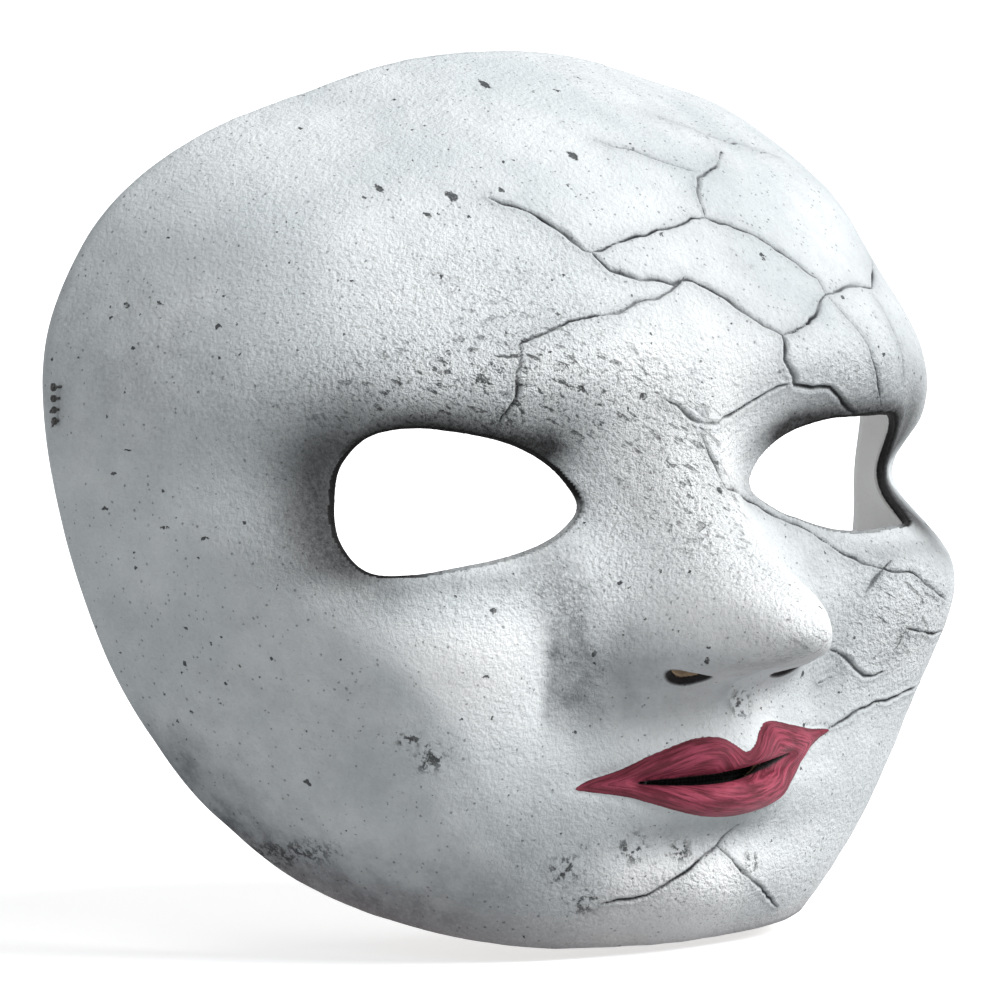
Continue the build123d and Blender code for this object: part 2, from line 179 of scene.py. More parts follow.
# ---- The latex shell ----
# A doll's face cast in latex 3 mm thick, a dome with the features built up on it,
# and cut open at the eyes, the nostrils and between the lips. It carries the rest.
# Sizes of the form are in mm, seen from the front: x to the wearer's left, z up.
WALL, RIM_SETBACK = 3.0, 80.0
DOME_DEPTH, DOME_CENTRE, DOME_HALF_WIDTH = 159.5, -150.0, 128.7
CROWN_HEIGHT, CHIN_REACH, CROWN_POWER, CHIN_POWER = 111.5, 155.0, 2.5, 4.85
JAW_POWER, TEMPLE_POWER = 5.0, 2.25
TAPER_TOP, TAPER_LENGTH, TAPER_POWER = 45.0, 212.0, 2.2
# what is built up or sunk in: across, up, spread across and up, height, tilt, and its side
BROW_LUMPS = [(40, 30, 38, 11, 6, -6, 0), (84, 36, 20, 15, 3, 0, 0), (84, 60, 22, 14, 5.8, 0, 0),
              (50, 92, 26, 14, -7.4, 0, 0), (0, 22, 16, 14, 2.5, 0, 1), (104, 56, 18, 24, -3, 0, 0)]
EYE_HOLLOWS = [(33, 1, 19, 15, -11, 0, 0), (80, 3, 26, 15, -8.5, 0, 0),
               (94, -6, 22, 12, -21, 0, 1), (80, 4, 26, 16, -7.5, 0, -1)]
CHEEK_LUMPS = [(60, -30, 26, 17, 7, 0, 0), (95, -30, 20, 25.5, 4.6, 0, 0), (36, -52, 7, 20, -2, -28, 0)]
NOSE_LUMPS = [(17.5, -37, 8, 7, 5, 0, 0), (0, -32, 26, 18, 7, 0, 1), (0, -25.5, 17, 8.5, 11.5, 0, 1)]
MOUTH_LUMPS = [(0, -62, 34, 20, 15, 0, 1), (0, -59, 20, 5, 3.5, 0, 1), (0, -70, 18, 5.5, 5.5, 0, 1),
               (0, -64.5, 26, 2.4, -2.2, 0, 1), (0, -80.5, 20, 5.5, -2.5, 0, 1), (0, -93, 26, 13, 12, 0, 1)]
LUMPS = BROW_LUMPS + EYE_HOLLOWS + CHEEK_LUMPS + NOSE_LUMPS + MOUTH_LUMPS
# how far forward the rim is, at some heights
RIM_HEIGHTS = np.array([-118, -107, -96, -76, -55, -20, 15, 60, 90, 118], float)
RIM_FRONTS = np.array([40, 0, -39, -64, -72, -76, -80, -84.6, -76, -68])
RIM_SLOPES = np.gradient(RIM_FRONTS, RIM_HEIGHTS)


def eased(t):
    t = np.clip(t, 0, 1)
    return t * t * (3 - 2 * t)


def dome_fill(x, z):
    """1 in the middle of the dome and 0 round its edge."""
    half = DOME_HALF_WIDTH * (1 - (np.clip(TAPER_TOP - z, 0, None) / TAPER_LENGTH) ** TAPER_POWER)
    power = JAW_POWER - (JAW_POWER - TEMPLE_POWER) * eased((z + 30) / 90)
    rise = np.where(z > 0, (np.abs(z) / CROWN_HEIGHT) ** CROWN_POWER, (np.abs(z) / CHIN_REACH) ** CHIN_POWER)
    return 1 - (np.abs(x) / half) ** power - rise


def forward(x, z):
    """How far the face stands in front of the inner eye corners, in millimetres."""
    total = DOME_DEPTH * np.sqrt(np.clip(dome_fill(x, z), 1e-4, None)) + DOME_CENTRE
    for cx, cz, sx, sz, height, tilt, only in LUMPS:
        c, s = math.cos(math.radians(tilt)), math.sin(math.radians(tilt))
        for side in (only,) if only else (-1, 1):
            dx, dz = side * x - cx, z - cz
            total = total + height * np.exp(-(((c * dx + s * dz) / sx) ** 2) - ((c * dz - s * dx) / sz) ** 2)
    t = 4 * np.logaddexp(0, (12 - z) / 4) / 42
    ridge = (4 + 27 * t ** 1.15) * np.exp(-(np.abs(x / (11 + 8 * t)) ** 3))
    return total + ridge / (1 + np.exp(-(z + 39.2) / 2.2)) / (1 + np.exp((z - 16) / 7))


def rim_forward(z):
    """How far forward the rim is at each height, along a smooth line."""
    i = np.clip(np.searchsorted(RIM_HEIGHTS, z) - 1, 0, len(RIM_HEIGHTS) - 2)
    span = RIM_HEIGHTS[i + 1] - RIM_HEIGHTS[i]
    t = np.clip((z - RIM_HEIGHTS[i]) / span, 0, 1)
    return (RIM_FRONTS[i] * (2 * t ** 3 - 3 * t ** 2 + 1) + RIM_SLOPES[i] * span * (t ** 3 - 2 * t ** 2 + t)
            + RIM_FRONTS[i + 1] * (3 * t ** 2 - 2 * t ** 3) + RIM_SLOPES[i + 1] * span * (t ** 3 - t ** 2))


def surface_y(x, z):
    """Where the face's outer side lies along y, in mm, for one place seen from the front."""
    return -RIM_SETBACK - float(forward(np.array([x]), np.array([z]))[0])


# lines drawn over the face from its middle to the rim, with even steps along each
SPOKES, STEPS, FINE_STEPS = 720, 400, 900
BEYOND_RIM, HALVINGS = 140.0, 40
angles = np.linspace(0, 2 * np.pi, SPOKES + 1)
across, upright = np.cos(angles), np.sin(angles)
near, far = np.zeros(SPOKES + 1), np.full(SPOKES + 1, BEYOND_RIM)
for _ in range(HALVINGS):
    middle = (near + far) / 2
    within = dome_fill(middle * across, middle * upright) > 0
    near, far = np.where(within, middle, near), np.where(within, far, middle)
reach = near[:, None] * np.sin(np.linspace(0, np.pi / 2, FINE_STEPS))[None, :]
spoke_x, spoke_z = reach * across[:, None], reach * upright[:, None]
spoke_f = forward(spoke_x, spoke_z)
behind_rim = (spoke_f < rim_forward(spoke_z)) & (reach > 0.5 * near[:, None])
lines = np.zeros((SPOKES + 1, STEPS, 3))
spoke_lengths = np.zeros(SPOKES + 1)
for i in range(SPOKES + 1):
    b = np.argmax(behind_rim[i])
    a = b - 1
    gap_a = spoke_f[i, a] - rim_forward(spoke_z[i, a])
    gap_b = spoke_f[i, b] - rim_forward(spoke_z[i, b])
    line = np.stack([spoke_x[i, :b + 1], -RIM_SETBACK - spoke_f[i, :b + 1], spoke_z[i, :b + 1]], 1)
    line[-1] = line[-2] + (line[-1] - line[-2]) * gap_a / (gap_a - gap_b)
    run = np.concatenate([[0], np.cumsum(np.linalg.norm(np.diff(line, axis=0), axis=1))])
    spoke_lengths[i] = run[-1]
    for k in range(3):
        lines[i, :, k] = np.interp(np.linspace(0, run[-1], STEPS), run, line[:, k])


def on_face(u, v):
    """Where a point of the flat square blank lies on the face, in mm, and how far from the rim."""
    ring = np.maximum(np.abs(u), np.abs(v))
    safe_u, safe_v = np.where(u == 0, 1e-12, u), np.where(v == 0, 1e-12, v)
    sideways = np.pi / 4 * v / safe_u + (u < 0) * np.pi
    lengthways = np.pi / 2 - np.pi / 4 * u / safe_v + (v < 0) * np.pi
    turn = np.where(np.abs(u) >= np.abs(v), sideways, lengthways) % (2 * np.pi) / (2 * np.pi) * SPOKES
    step = np.clip(ring, 0, 1) * (STEPS - 1)
    i, j = np.clip(turn.astype(int), 0, SPOKES - 1), np.clip(step.astype(int), 0, STEPS - 2)
    a, b = (turn - i)[:, None], (step - j)[:, None]
    point = ((1 - a) * (1 - b) * lines[i, j] + a * (1 - b) * lines[i + 1, j]
             + (1 - a) * b * lines[i, j + 1] + a * b * lines[i + 1, j + 1])
    return point, (1 - ring) * spoke_lengths[i]


# the openings, as seen from the front, in mm
RIGHT_EYE = [(-25, -2), (-28.5, 3.5), (-35, 8), (-45, 12), (-57, 15), (-67, 16.2), (-74, 14.5),
             (-77.5, 9), (-79.5, 1), (-82.3, -8), (-80.5, -14), (-73, -15), (-60, -13.5),
             (-47, -11.9), (-36, -9.8), (-28.5, -6.4)]
LEFT_EYE = [(24.4, -1), (27.6, 4), (32.3, 8), (37.5, 10.8), (44, 12.5), (51, 13), (58, 12.9),
            (65, 12.6), (71, 11.4), (75.5, 7.5), (78.5, 0.5), (80.8, -6), (79.3, -11.4),
            (73, -12.4), (61, -12), (53.3, -12.3), (46.5, -12), (41.5, -10.8), (36.3, -8.8), (30.5, -6)]
MOUTH_SLIT = [(-21.5, -65.5), (-12, -64.8), (-3, -64.4), (5, -63.6), (13, -62.5), (18.8, -61.9),
              (13.5, -63.7), (5, -65), (-3, -65.9), (-12, -66.1)]
LIPS = [(-35, -66.3), (-32, -64.6), (-26.5, -62.8), (-20, -59), (-12, -56), (-7, -55.4), (-3.5, -55.9),
        (-1, -57.5), (2, -59.4), (5, -57.8), (7.5, -55.4), (12, -53.4), (20, -55), (29.5, -57.2),
        (37, -58.2), (33.5, -59.8), (29, -62.1), (25.6, -65.5), (20.5, -69.5), (17, -72.6),
        (10.5, -74.4), (2.5, -75.1), (-5.6, -74.4), (-13, -72.5), (-19.3, -70.3), (-23.6, -68.8),
        (-28.5, -67.8), (-33, -67)]


def rounded(points, steps=12):
    """A closed smooth line through the points."""
    p = np.array(points, float)
    before, after, next_after = np.roll(p, 1, 0), np.roll(p, -1, 0), np.roll(p, -2, 0)
    t = np.linspace(0, 1, steps, endpoint=False)[None, :, None]
    p, before, after, next_after = p[:, None], before[:, None], after[:, None], next_after[:, None]
    curve = 0.5 * (2 * p + (after - before) * t + (2 * before - 5 * p + 4 * after - next_after) * t ** 2
                   + (3 * p - before - 3 * after + next_after) * t ** 3)
    return curve.reshape(-1, 2)


def outside(points, outline):
    """How far each point (x, z) is outside a closed outline; negative inside it."""
    start, end = outline, np.roll(outline, -1, 0)
    best, crossings = np.full(len(points), 1e9), np.zeros(len(points), int)
    for a, b in zip(start, end):
        t = np.clip(((points - a) @ (b - a)) / max((b - a) @ (b - a), 1e-12), 0, 1)
        best = np.minimum(best, np.hypot(*(points - a - t[:, None] * (b - a)).T))
        spans = (a[1] > points[:, 1]) != (b[1] > points[:, 1])
        slope = (b[0] - a[0]) / (b[1] - a[1] if b[1] != a[1] else 1e-12)
        crossings += spans & (points[:, 0] < a[0] + slope * (points[:, 1] - a[1]))
    return np.where(crossings % 2 == 1, -best, best)


def away_from(points, outline, margin=9.0):
    """The same, worked out only for points near the outline, and large elsewhere."""
    flat = points[:, [0, 2]]
    low, high = outline.min(0) - margin, outline.max(0) + margin
    close = np.all((flat > low) & (flat < high), 1) & (points[:, 1] < -40)
    result = np.full(len(points), margin)
    if close.any():
        result[close] = outside(flat[close], outline)
    return result


# the nostrils open down and a little forwards
NOSTRIL_X, NOSTRIL_Z, NOSTRIL_LEAN = 14.5, -41.5, math.radians(25)
NOSTRIL_HALF_WIDTH, NOSTRIL_HALF_DEPTH, NOSTRIL_REACH = 5, 4, 9
up_nostril = np.array([0, math.sin(NOSTRIL_LEAN), math.cos(NOSTRIL_LEAN)])
nostril_mouths = [np.array([side_x, surface_y(side_x, NOSTRIL_Z), NOSTRIL_Z]) for side_x in (-NOSTRIL_X, NOSTRIL_X)]


def away_from_nostril(points):
    """How far each point is outside the nearer nostril."""
    result = np.full(len(points), float(NOSTRIL_REACH))
    for mouth in nostril_mouths:
        apart = points - mouth
        sunk = apart @ np.cross(up_nostril, [1, 0, 0])
        oval = (np.hypot(apart[:, 0] / NOSTRIL_HALF_WIDTH, sunk / NOSTRIL_HALF_DEPTH) - 1) * 4.4
        near_mouth = (np.abs(apart @ up_nostril) < NOSTRIL_REACH) & (oval < NOSTRIL_REACH)
        result = np.where(near_mouth, np.minimum(result, oval), result)
    return result


right_eye, left_eye, slit, lips = rounded(RIGHT_EYE), rounded(LEFT_EYE), rounded(MOUTH_SLIT), rounded(LIPS, 8)
OPENINGS = [lambda points: away_from(points, right_eye), lambda points: away_from(points, left_eye),
            lambda points: away_from(points, slit), away_from_nostril]
ON_LINE = 0.05          # a point this close to an outline counts as on it

# the cracks: half their width, and their course over the left side of the face and the chin
CRACKS = [
    (0.75, [(-34, 67.5), (-26.5, 64), (-21.5, 59.5), (-18, 55.5), (-16, 54.5)]),
    (0.6, [(-16, 54.5), (-7.5, 56.5), (5, 59), (20, 61)]),
    (0.8, [(-16, 54.5), (-13, 50.5), (-6.5, 48), (2, 47), (6, 48), (12.5, 45), (19.5, 39), (27, 34)]),
    (0.65, [(6, 48), (0.5, 45), (-15, 42), (-29.5, 39.5), (-43.5, 35), (-46.5, 29), (-47, 21.5), (-49.5, 14)]),
    (0.7, [(27, 34), (37, 36.5), (49, 42)]),
    (0.7, [(20, 61), (29.5, 58), (41, 52), (49.5, 45), (49, 42)]),
    (0.6, [(20, 61), (21, 64), (25, 70), (33, 72), (41, 75)]),
    (0.5, [(2.5, 79), (13.5, 75.5), (26, 71)]),
    (0.5, [(30, 83.5), (45.5, 77.5), (67, 72.5)]),
    (0.65, [(49, 42), (63.5, 43.5), (71.5, 42), (82, 48)]),
    (0.7, [(49, 42), (53.5, 35), (56.5, 26.5), (61, 15)]),
    (0.5, [(69.5, 41), (70, 32.5), (70, 21)]),
    (0.85, [(27, 34), (26.5, 28.5), (31.5, 22), (42, 20.5), (52.5, 14)]),
    (0.65, [(28.5, 22.5), (16.5, 19), (6.5, 14.5), (-0.5, 16), (-8, 21)]),
    (0.65, [(0.5, 13), (2, 10.5), (3, 7), (4, 3.5), (5, 0.5), (16, -3), (25, -6), (31, -9.2), (36, -12), (40, -15)]),
    (0.6, [(40, -15), (44.5, -18.5), (48, -20.5), (52.5, -21.5)]),
    (0.65, [(52.5, -21.5), (57, -22.5), (62, -23.5), (65.5, -25.5), (71, -28), (76, -31)]),
    (0.65, [(56, -20), (51.5, -23), (47, -26.5), (45, -29.5)]),
    (0.5, [(59, -36), (64.5, -37.5), (70, -38.5), (79, -39)]),
    (0.4, [(58, -32.5), (57, -36), (57.5, -39), (56, -42.5)]),
    (0.65, [(37, -39.5), (43, -42), (45, -44.5), (48, -47), (51, -47), (54, -46)]),
    (0.6, [(37, -58), (44.5, -55.5), (51.5, -53.5), (58, -53), (65, -52), (75, -51)]),
    (0.4, [(33, -47), (38.5, -46)]),
    (0.65, [(7, -77.5), (2, -82), (-6.5, -87), (-16, -92.5), (-25.5, -94)]),
    (0.6, [(2.5, -82.5), (10, -90), (28.5, -100)]),
]
CRACK_STEP, CRACK_ROOM = 0.3, 6000
# noise_vector starts from the clock unless it is given a seed
CRACK_SEED = 1795330624
noise.seed_set(CRACK_SEED)
crack_tree, crack_widths = KDTree(CRACK_ROOM), []
for number, (width, course) in enumerate(CRACKS):
    course = np.array(course, float)
    run = np.concatenate([[0], np.cumsum(np.hypot(*np.diff(course, axis=0).T))])
    for along in np.arange(0, run[-1], CRACK_STEP):
        x, z = np.interp(along, run, course[:, 0]), np.interp(along, run, course[:, 1])
        ends = min(along / 3, (run[-1] - along) / 3, 1)
        sway = noise.noise_vector((x / 6, z / 6, number * 3.7)) * 0.8 + noise.noise_vector((x / 2, z / 2, 7)) * 0.22
        x, z = x + sway.x * ends, z + sway.y * ends
        crack_tree.insert((x, surface_y(x, z), z), len(crack_widths))
        thin = 0.4 + 0.6 * min(along / 9 + 0.3, (run[-1] - along) / 9 + 0.3, 1)
        crack_widths.append(0.75 * width * thin * (1 + 0.7 * noise.noise((along / 5, number, 0))))
crack_tree.balance()


def to_cracks(points):
    """The distance of each point to the nearest crack, in mm, and half that crack's width."""
    found = [crack_tree.find(p) for p in points]
    return np.array([f[2] for f in found]), np.array([crack_widths[f[1]] for f in found])


# the blank is a flat square of even quads, finer where there is detail
BLANK_CELLS, MM = 170, 0.001
bpy.ops.mesh.primitive_grid_add(x_subdivisions=BLANK_CELLS, y_subdivisions=BLANK_CELLS, size=2)
shell = bpy.context.object
shell.name = "cracked_face_shell"


def blank_points(mesh):
    """Where the points of the flat blank lie on the face, and how far each is from the rim."""
    flat = np.zeros(len(mesh.vertices) * 3)
    mesh.vertices.foreach_get("co", flat)
    return on_face(flat[0::3], flat[1::3])


# how near a crack, an opening's edge or the lips' outline the quads are split, and how far
# in from that outline, first coarsely and then finely
for crack_band, edge_band, lip_band, lip_inset in ((2.6, 3.4, 1.6, 2.2), (1.5, 1.7, 0.5, 0)):
    points, _ = blank_points(shell.data)
    crack_gap, _ = to_cracks(points)
    edge_gap = np.minimum.reduce([np.abs(gap_to(points)) for gap_to in OPENINGS])
    lip_gap = away_from(points, lips)
    lip_gap = np.where(lip_gap < 0, -lip_gap - lip_inset, lip_gap)
    fine = (crack_gap < crack_band) | (edge_gap < edge_band) | (lip_gap < lip_band)
    edit_faces(shell, lambda face: any(fine[i] for i in face.vertices))
    bpy.ops.mesh.subdivide(number_cuts=1, ngon=False, quadcorner="INNERVERT")
    bpy.ops.object.mode_set(mode="OBJECT")

# the openings are cut along their exact lines
for gap_to in OPENINGS:
    away = gap_to(blank_points(shell.data)[0])
    away = np.where(np.abs(away) < ON_LINE, 0, away)
    sheet = bmesh.new()
    sheet.from_mesh(shell.data)
    sheet.verts.ensure_lookup_table()
    gap = {vert: away[vert.index] for vert in sheet.verts}
    on_line = [vert for vert in sheet.verts if gap[vert] == 0]
    for edge in list(sheet.edges):
        a, b = edge.verts
        if gap[a] * gap[b] < 0:
            _, fresh = bmesh.utils.edge_split(edge, a, gap[a] / (gap[a] - gap[b]))
            gap[fresh] = 0
            on_line.append(fresh)
    bmesh.ops.connect_verts(sheet, verts=on_line)
    waste = [face for face in sheet.faces if sum(gap[vert] for vert in face.verts) < 0]
    bmesh.ops.delete(sheet, geom=waste, context="FACES")
    sheet.to_mesh(shell.data)
    sheet.free()

# the blank is laid on the face, and every point gets its relief and its paint
points, to_rim = blank_points(shell.data)
shell.data.vertices.foreach_set("co", (points * MM).ravel())
shell.data.update()
normals = np.zeros(len(points) * 3)
shell.data.vertex_normals.foreach_get("vector", normals)
normals = normals.reshape(-1, 3)
x, y, z = points.T
right_gap, left_gap = away_from(points, right_eye, 60), away_from(points, left_eye, 60)
eye_gap = np.minimum(right_gap, left_gap)
slit_gap, nostril_gap, lip_gap = away_from(points, slit), away_from_nostril(points), away_from(points, lips)
crack_gap, crack_width = to_cracks(points)


def rolled_edge(gap, radius):
    """How far a rounded edge drops at each distance from it."""
    inward = np.clip(radius - gap, 0, radius)
    return radius - np.sqrt(np.clip(radius ** 2 - inward ** 2, 0, None))


def spot(cx, cz, wide, tall, sideways=x):
    """A soft round place: 1 in its middle, fading across and up."""
    return np.exp(-(((sideways - cx) / wide) ** 2) - ((z - cz) / tall) ** 2)


def spots(places, sideways=x):
    """Soft places added up: how strong on the right side and on the left, then as for one."""
    return sum(np.where(x < 0, on_right, on_left) * spot(*place, sideways) for on_right, on_left, *place in places)


relief = -1.2 * np.clip(1 - eye_gap / 1.6, 0, 1) ** 2 - rolled_edge(to_rim, 1.3) - rolled_edge(nostril_gap, 1.0)
relief -= rolled_edge(slit_gap, 0.8)
relief += 1.1 * eased(-lip_gap / 2.6) * eased(slit_gap / 3)
relief -= 0.35 * np.exp(-((lip_gap - 0.6) / 0.9) ** 2)
depth_of_crack = 1.5 * np.clip(crack_width, 0.25, 0.7)
relief -= depth_of_crack * np.exp(-((crack_gap / (0.8 * crack_width)) ** 2))
relief += 0.26 * np.exp(-(((crack_gap - 2.2 * crack_width) / (1.1 * crack_width)) ** 2))
smooth_side = eased((-58 - x) / 30)
ROUGH_PLACES = [(1, 1, -50, 22, 38, 13), (0.6, 0.6, -4, 0, 20, 20), (0.35, 0.35, -45, 45, 35, 20),
                (0.4, 0.4, 0, -92, 30, 10), (0.6, 0.6, 60, -32, 20, 16), (0.4, 0.4, -45, -20, 25, 8),
                (0.4, 0.4, 0, -33, 16, 5), (0.35, 0.35, 50, 25, 20, 10)]
rough_skin = spots(ROUGH_PLACES)
lumpy = np.array([noise.noise(p / 5.5) for p in points]) * 0.16
lumpy += np.array([noise.noise(p / 2.0) for p in points]) * (0.05 + 0.15 * rough_skin)
relief += lumpy * (1 - 0.75 * smooth_side) * eased(lip_gap / 1.5 + 0.25)
# the black airbrushing round each eye, widest at its outer end and under the brow; the part under the brow, by the
# inner corners, in the crease below the eye and under its outer corner is painted shade
either_side = np.abs(x)
outer_side = eased((either_side - 62) / 22) * eased((z + 27) / 14)
off_edge = np.clip(eye_gap, 0, None)
round_end = 0.96 * outer_side * (1 - 0.3 * eased((z - 12) / 10)) * np.exp(-((off_edge / 14.5) ** 2.4))
under_brow = 0.93 * np.exp(-((off_edge / 5.2) ** 2)) + 0.06 * np.exp(-((off_edge / 10) ** 2))
under_brow += 0.45 * spot(34, 12, 8, 6, either_side)
socket = np.maximum(0.12 * np.exp(-off_edge / 2.2), round_end)
socket = np.clip(np.maximum(socket, eased((z - 2) / 10) * under_brow), 0, 1)
# painted shade in the crease below each eye and under its outer corner
crease = 0.30 * np.exp(-((z + 17.8) / 2.6) ** 2) * eased((86 - either_side) / 8) * eased((either_side - 40) / 14)
socket = np.maximum(socket, 0.42 * spot(82, -20, 9, 5, either_side) + crease)

# painted shade in grey washes: soft places on both sides or one, then the jaw, the folds beside the nose, the nose's
# lower edge and the left side as a whole
PAINTED_SHADES = [(0.34, 0.34, 106, 34, 16, 24), (0.62, 0.186, 36, -20, 10, 11), (0.45, 0.225, 23, -1, 5, 7),
          (0.30, 0.30, 8, -79, 22, 4), (0.20, 0, 38, -78, 13, 9), (0.22, 0, 33, -86, 9, 6),
          (0.20, 0, 38, -30, 10, 13), (0.22, 0, 40, -13, 10, 8)]
LEFT_PAINTED_SHADES = [(0.22, 0.22, 22, 6, 11, 13), (0.28, 0.28, 60, 22, 14, 6), (0.16, 0.16, 16, 38, 22, 18)]
painted_shade = spots(PAINTED_SHADES, either_side) + spots(LEFT_PAINTED_SHADES)
painted_shade += 0.06 * spot(14, -48, 24, 7, either_side) * eased(lip_gap / 2) * np.where(x < 14, 1, 0.4)
painted_shade += 0.36 * eased((-70 - z) / 18) * eased((-30 - x) / 20)
painted_shade += 0.75 * eased((-44 - z) / 20) * np.exp(-((to_rim / 21) ** 2)) * eased((-42 - x) / 20)
painted_shade += 0.07 * eased((-60 - x) / 20) * eased((-30 - z) / 15)
fold = eased((44.5 - either_side) / 3.5) * (0.35 + 0.65 * eased((either_side - 18) / 20))
painted_shade += 0.74 * fold * eased((-22 - z) / 14) * eased((z + 59) / 14) * np.where(x < 0, 1, 0.35)
painted_shade += 0.20 * np.exp(-(((z + 38) / 2) ** 2)) * eased((x + 20) / 6) * eased((10 - x) / 5)
painted_shade += 0.07 * eased((x - 2) / 20)
# the right cheek ends in a slanting line, with a painted highlight above it and painted shade below it
below = -0.74 * (x + 66) - 0.67 * (z + 47)
beside = eased((-28 - x) / 14) * eased((-18 - z) / 8) * eased((z + 82) / 14)
painted_shade += 0.13 * beside * eased((below + 2) / 7) * np.exp(-(((below - 8) / 20) ** 2))
# and the painted highlights: the nose, the cheeks, the brow, the upper lip and the chin
PAINTED_HIGHLIGHTS = [(1, 1, 10, 6, 15, 34), (1, 1, 9, -29, 13, 9), (0.5, 0, 42, 28, 40, 8)]
painted_highlight = spots(PAINTED_HIGHLIGHTS, either_side) + 0.6 * spot(10, -50, 22, 7, either_side) * eased((20 - x) / 10)
painted_highlight += eased((x + 34) / 16) * eased((-76 - z) / 12) * (1 - 0.6 * eased((x - 2) / 20))
# a painted highlight on the right cheek, above its slanting line
cheek_share = 1.2 * np.where(x < 0, eased((4 - below) / 7), 0.5) * eased((-21 - z) / 9)
painted_highlight += cheek_share * spot(64, -38, 22, 14, either_side)
paint = {
    "crack": np.exp(-((crack_gap / (0.95 * crack_width)) ** 2)),
    "crack_stain": np.exp(-crack_gap / 3.0),
    "lips": eased(0.5 - lip_gap / 0.5),
    "lip_edge": np.exp(-((lip_gap + 0.3) / 1.3) ** 2),
    "socket": socket,
    "eye_edge": np.clip(1 - off_edge / 1.7, 0, 1) * (0.55 + 0.45 * np.maximum(outer_side, eased((z + 3) / 5))),
    "lip_flow": lip_gap * MM,
    "shadow_wash": np.clip(painted_shade, 0, 1),
    "mouth_dark": np.exp(-np.clip(slit_gap, 0, None) / 0.35),
    "nostril_dark": np.clip(1 - nostril_gap / 1.1, 0, 1),
    "painted_highlight_coat": np.clip(painted_highlight, 0, 1),
    # a pinkish grey tint near the chin's rim, which also stands in as painted shade along its lower edge
    "chin_tint_and_shade": eased((-72 - z) / 25) * np.exp(-to_rim / (6 + 10 * eased((4 - x) / 30))),
    "rough": np.clip(rough_skin, 0, 1),
    "overspray": np.maximum(np.exp(-off_edge / 22), eased((either_side - 84) / 16) * np.exp(-((z / 34) ** 2)))
    * (1 - np.exp(-nostril_gap / 6)),
    "inside": np.zeros(len(points)),
}
for name, values in paint.items():
    layer = shell.data.attributes.new(name, "FLOAT", "POINT")
    layer.data.foreach_set("value", values.astype(np.float32))
worked = shell.data.attributes.new("worked", "FLOAT_VECTOR", "POINT")
worked.data.foreach_set("vector", ((points + normals * relief[:, None]) * MM).astype(np.float32).ravel())

# the wall gets its thickness, its inner side is left plain, and the relief is pressed out
INSIDE_SHARE = 0.22     # of the inner faces that are kept
count = len(points)
modify(shell, "SOLIDIFY", thickness=WALL * MM, offset=-1)
# inside, the latex narrows each nostril
for i in np.nonzero(np.abs(nostril_gap) < 0.1)[0]:
    vert = shell.data.vertices[count + int(i)]
    mouth, axis = Vector(nostril_mouths[int(points[i][0] > 0)] * MM), Vector(up_nostril)
    middle = mouth + axis * (vert.co - mouth).dot(axis)
    vert.co = vert.co.lerp(middle, 0.6)
shell.data.attributes["inside"].data.foreach_set(
    "value", (np.arange(len(shell.data.vertices)) >= count).astype(np.float32))
edit_faces(shell, lambda face: all(i >= count for i in face.vertices))
bpy.ops.mesh.decimate(ratio=INSIDE_SHARE)
bpy.ops.object.mode_set(mode="OBJECT")
total = len(shell.data.vertices)
is_inside, target, plain = np.zeros(total), np.zeros(total * 3), np.zeros(total * 3)
shell.data.attributes["inside"].data.foreach_get("value", is_inside)
shell.data.attributes["worked"].data.foreach_get("vector", target)
shell.data.vertices.foreach_get("co", plain)
keep = np.repeat(is_inside > 0.5, 3)
shell.data.vertices.foreach_set("co", np.where(keep, plain, target))
shell.data.attributes.remove(shell.data.attributes["worked"])
for face in shell.data.polygons:
    face.use_smooth = True
shell.data.update()
print("shell triangles", sum(len(face.vertices) - 2 for face in shell.data.polygons))


def add(tree, kind, **settings):
    """A node with its sockets and settings filled in."""
    node = tree.nodes.new(kind)
    for name, value in settings.items():
        socket_name = name.replace("_", " ").title()
        if name in node.bl_rna.properties:
            setattr(node, name, value)
        elif isinstance(value, bpy.types.NodeSocket):
            tree.links.new(value, node.inputs[socket_name])
        else:
            node.inputs[socket_name].default_value = value
    return node


def fill(socket, value):
    """Gives a socket its value, which is a plain one or another socket's."""
    if isinstance(value, bpy.types.NodeSocket):
        socket.id_data.links.new(value, socket)
    else:
        socket.default_value = value


def blend(share, first, second, data_type="RGBA"):
    """The second colour or number over the first, by a share."""
    node = add(share.id_data, "ShaderNodeMix", data_type=data_type)
    sockets = {socket.name: socket for socket in node.inputs if socket.enabled}
    for name, value in (("Factor", share), ("A", first), ("B", second)):
        fill(sockets[name], value)
    return next(socket for socket in node.outputs if socket.enabled)


def calculate(how, *values, kind="Math", output="Value"):
    """One step of arithmetic, with a socket among its values."""
    tree = next(value for value in values if isinstance(value, bpy.types.NodeSocket)).id_data
    node = add(tree, "ShaderNode" + kind, operation=how)
    for socket, value in zip(node.inputs, values):
        fill(socket, value)
    return node.outputs[output]


def plus(first, second):
    return calculate("ADD", first, second)


def minus(first, second):
    return calculate("SUBTRACT", first, second)


def times(first, second):
    return calculate("MULTIPLY", first, second)


def larger(first, second):
    return calculate("MAXIMUM", first, second)


def between(value, low, high):
    """0 below low, 1 above high, and smooth between them."""
    node = add(value.id_data, "ShaderNodeMapRange", interpolation_type="SMOOTHSTEP", value=value)
    node.inputs["From Min"].default_value, node.inputs["From Max"].default_value = low, high
    return node.outputs["Result"]


def painted(tree, name):
    """A value stored on the piece's own points."""
    node = tree.nodes.new("ShaderNodeAttribute")
    node.attribute_name = name
    return node.outputs["Fac"]


def new_material(name):
    """A material with its nodes, its shader and each point's place in the piece's own space."""
    material = bpy.data.materials.new(name)
    material.use_nodes = True
    nodes = material.node_tree.nodes
    return material, nodes["Principled BSDF"], nodes.new("ShaderNodeTexCoord").outputs["Object"]


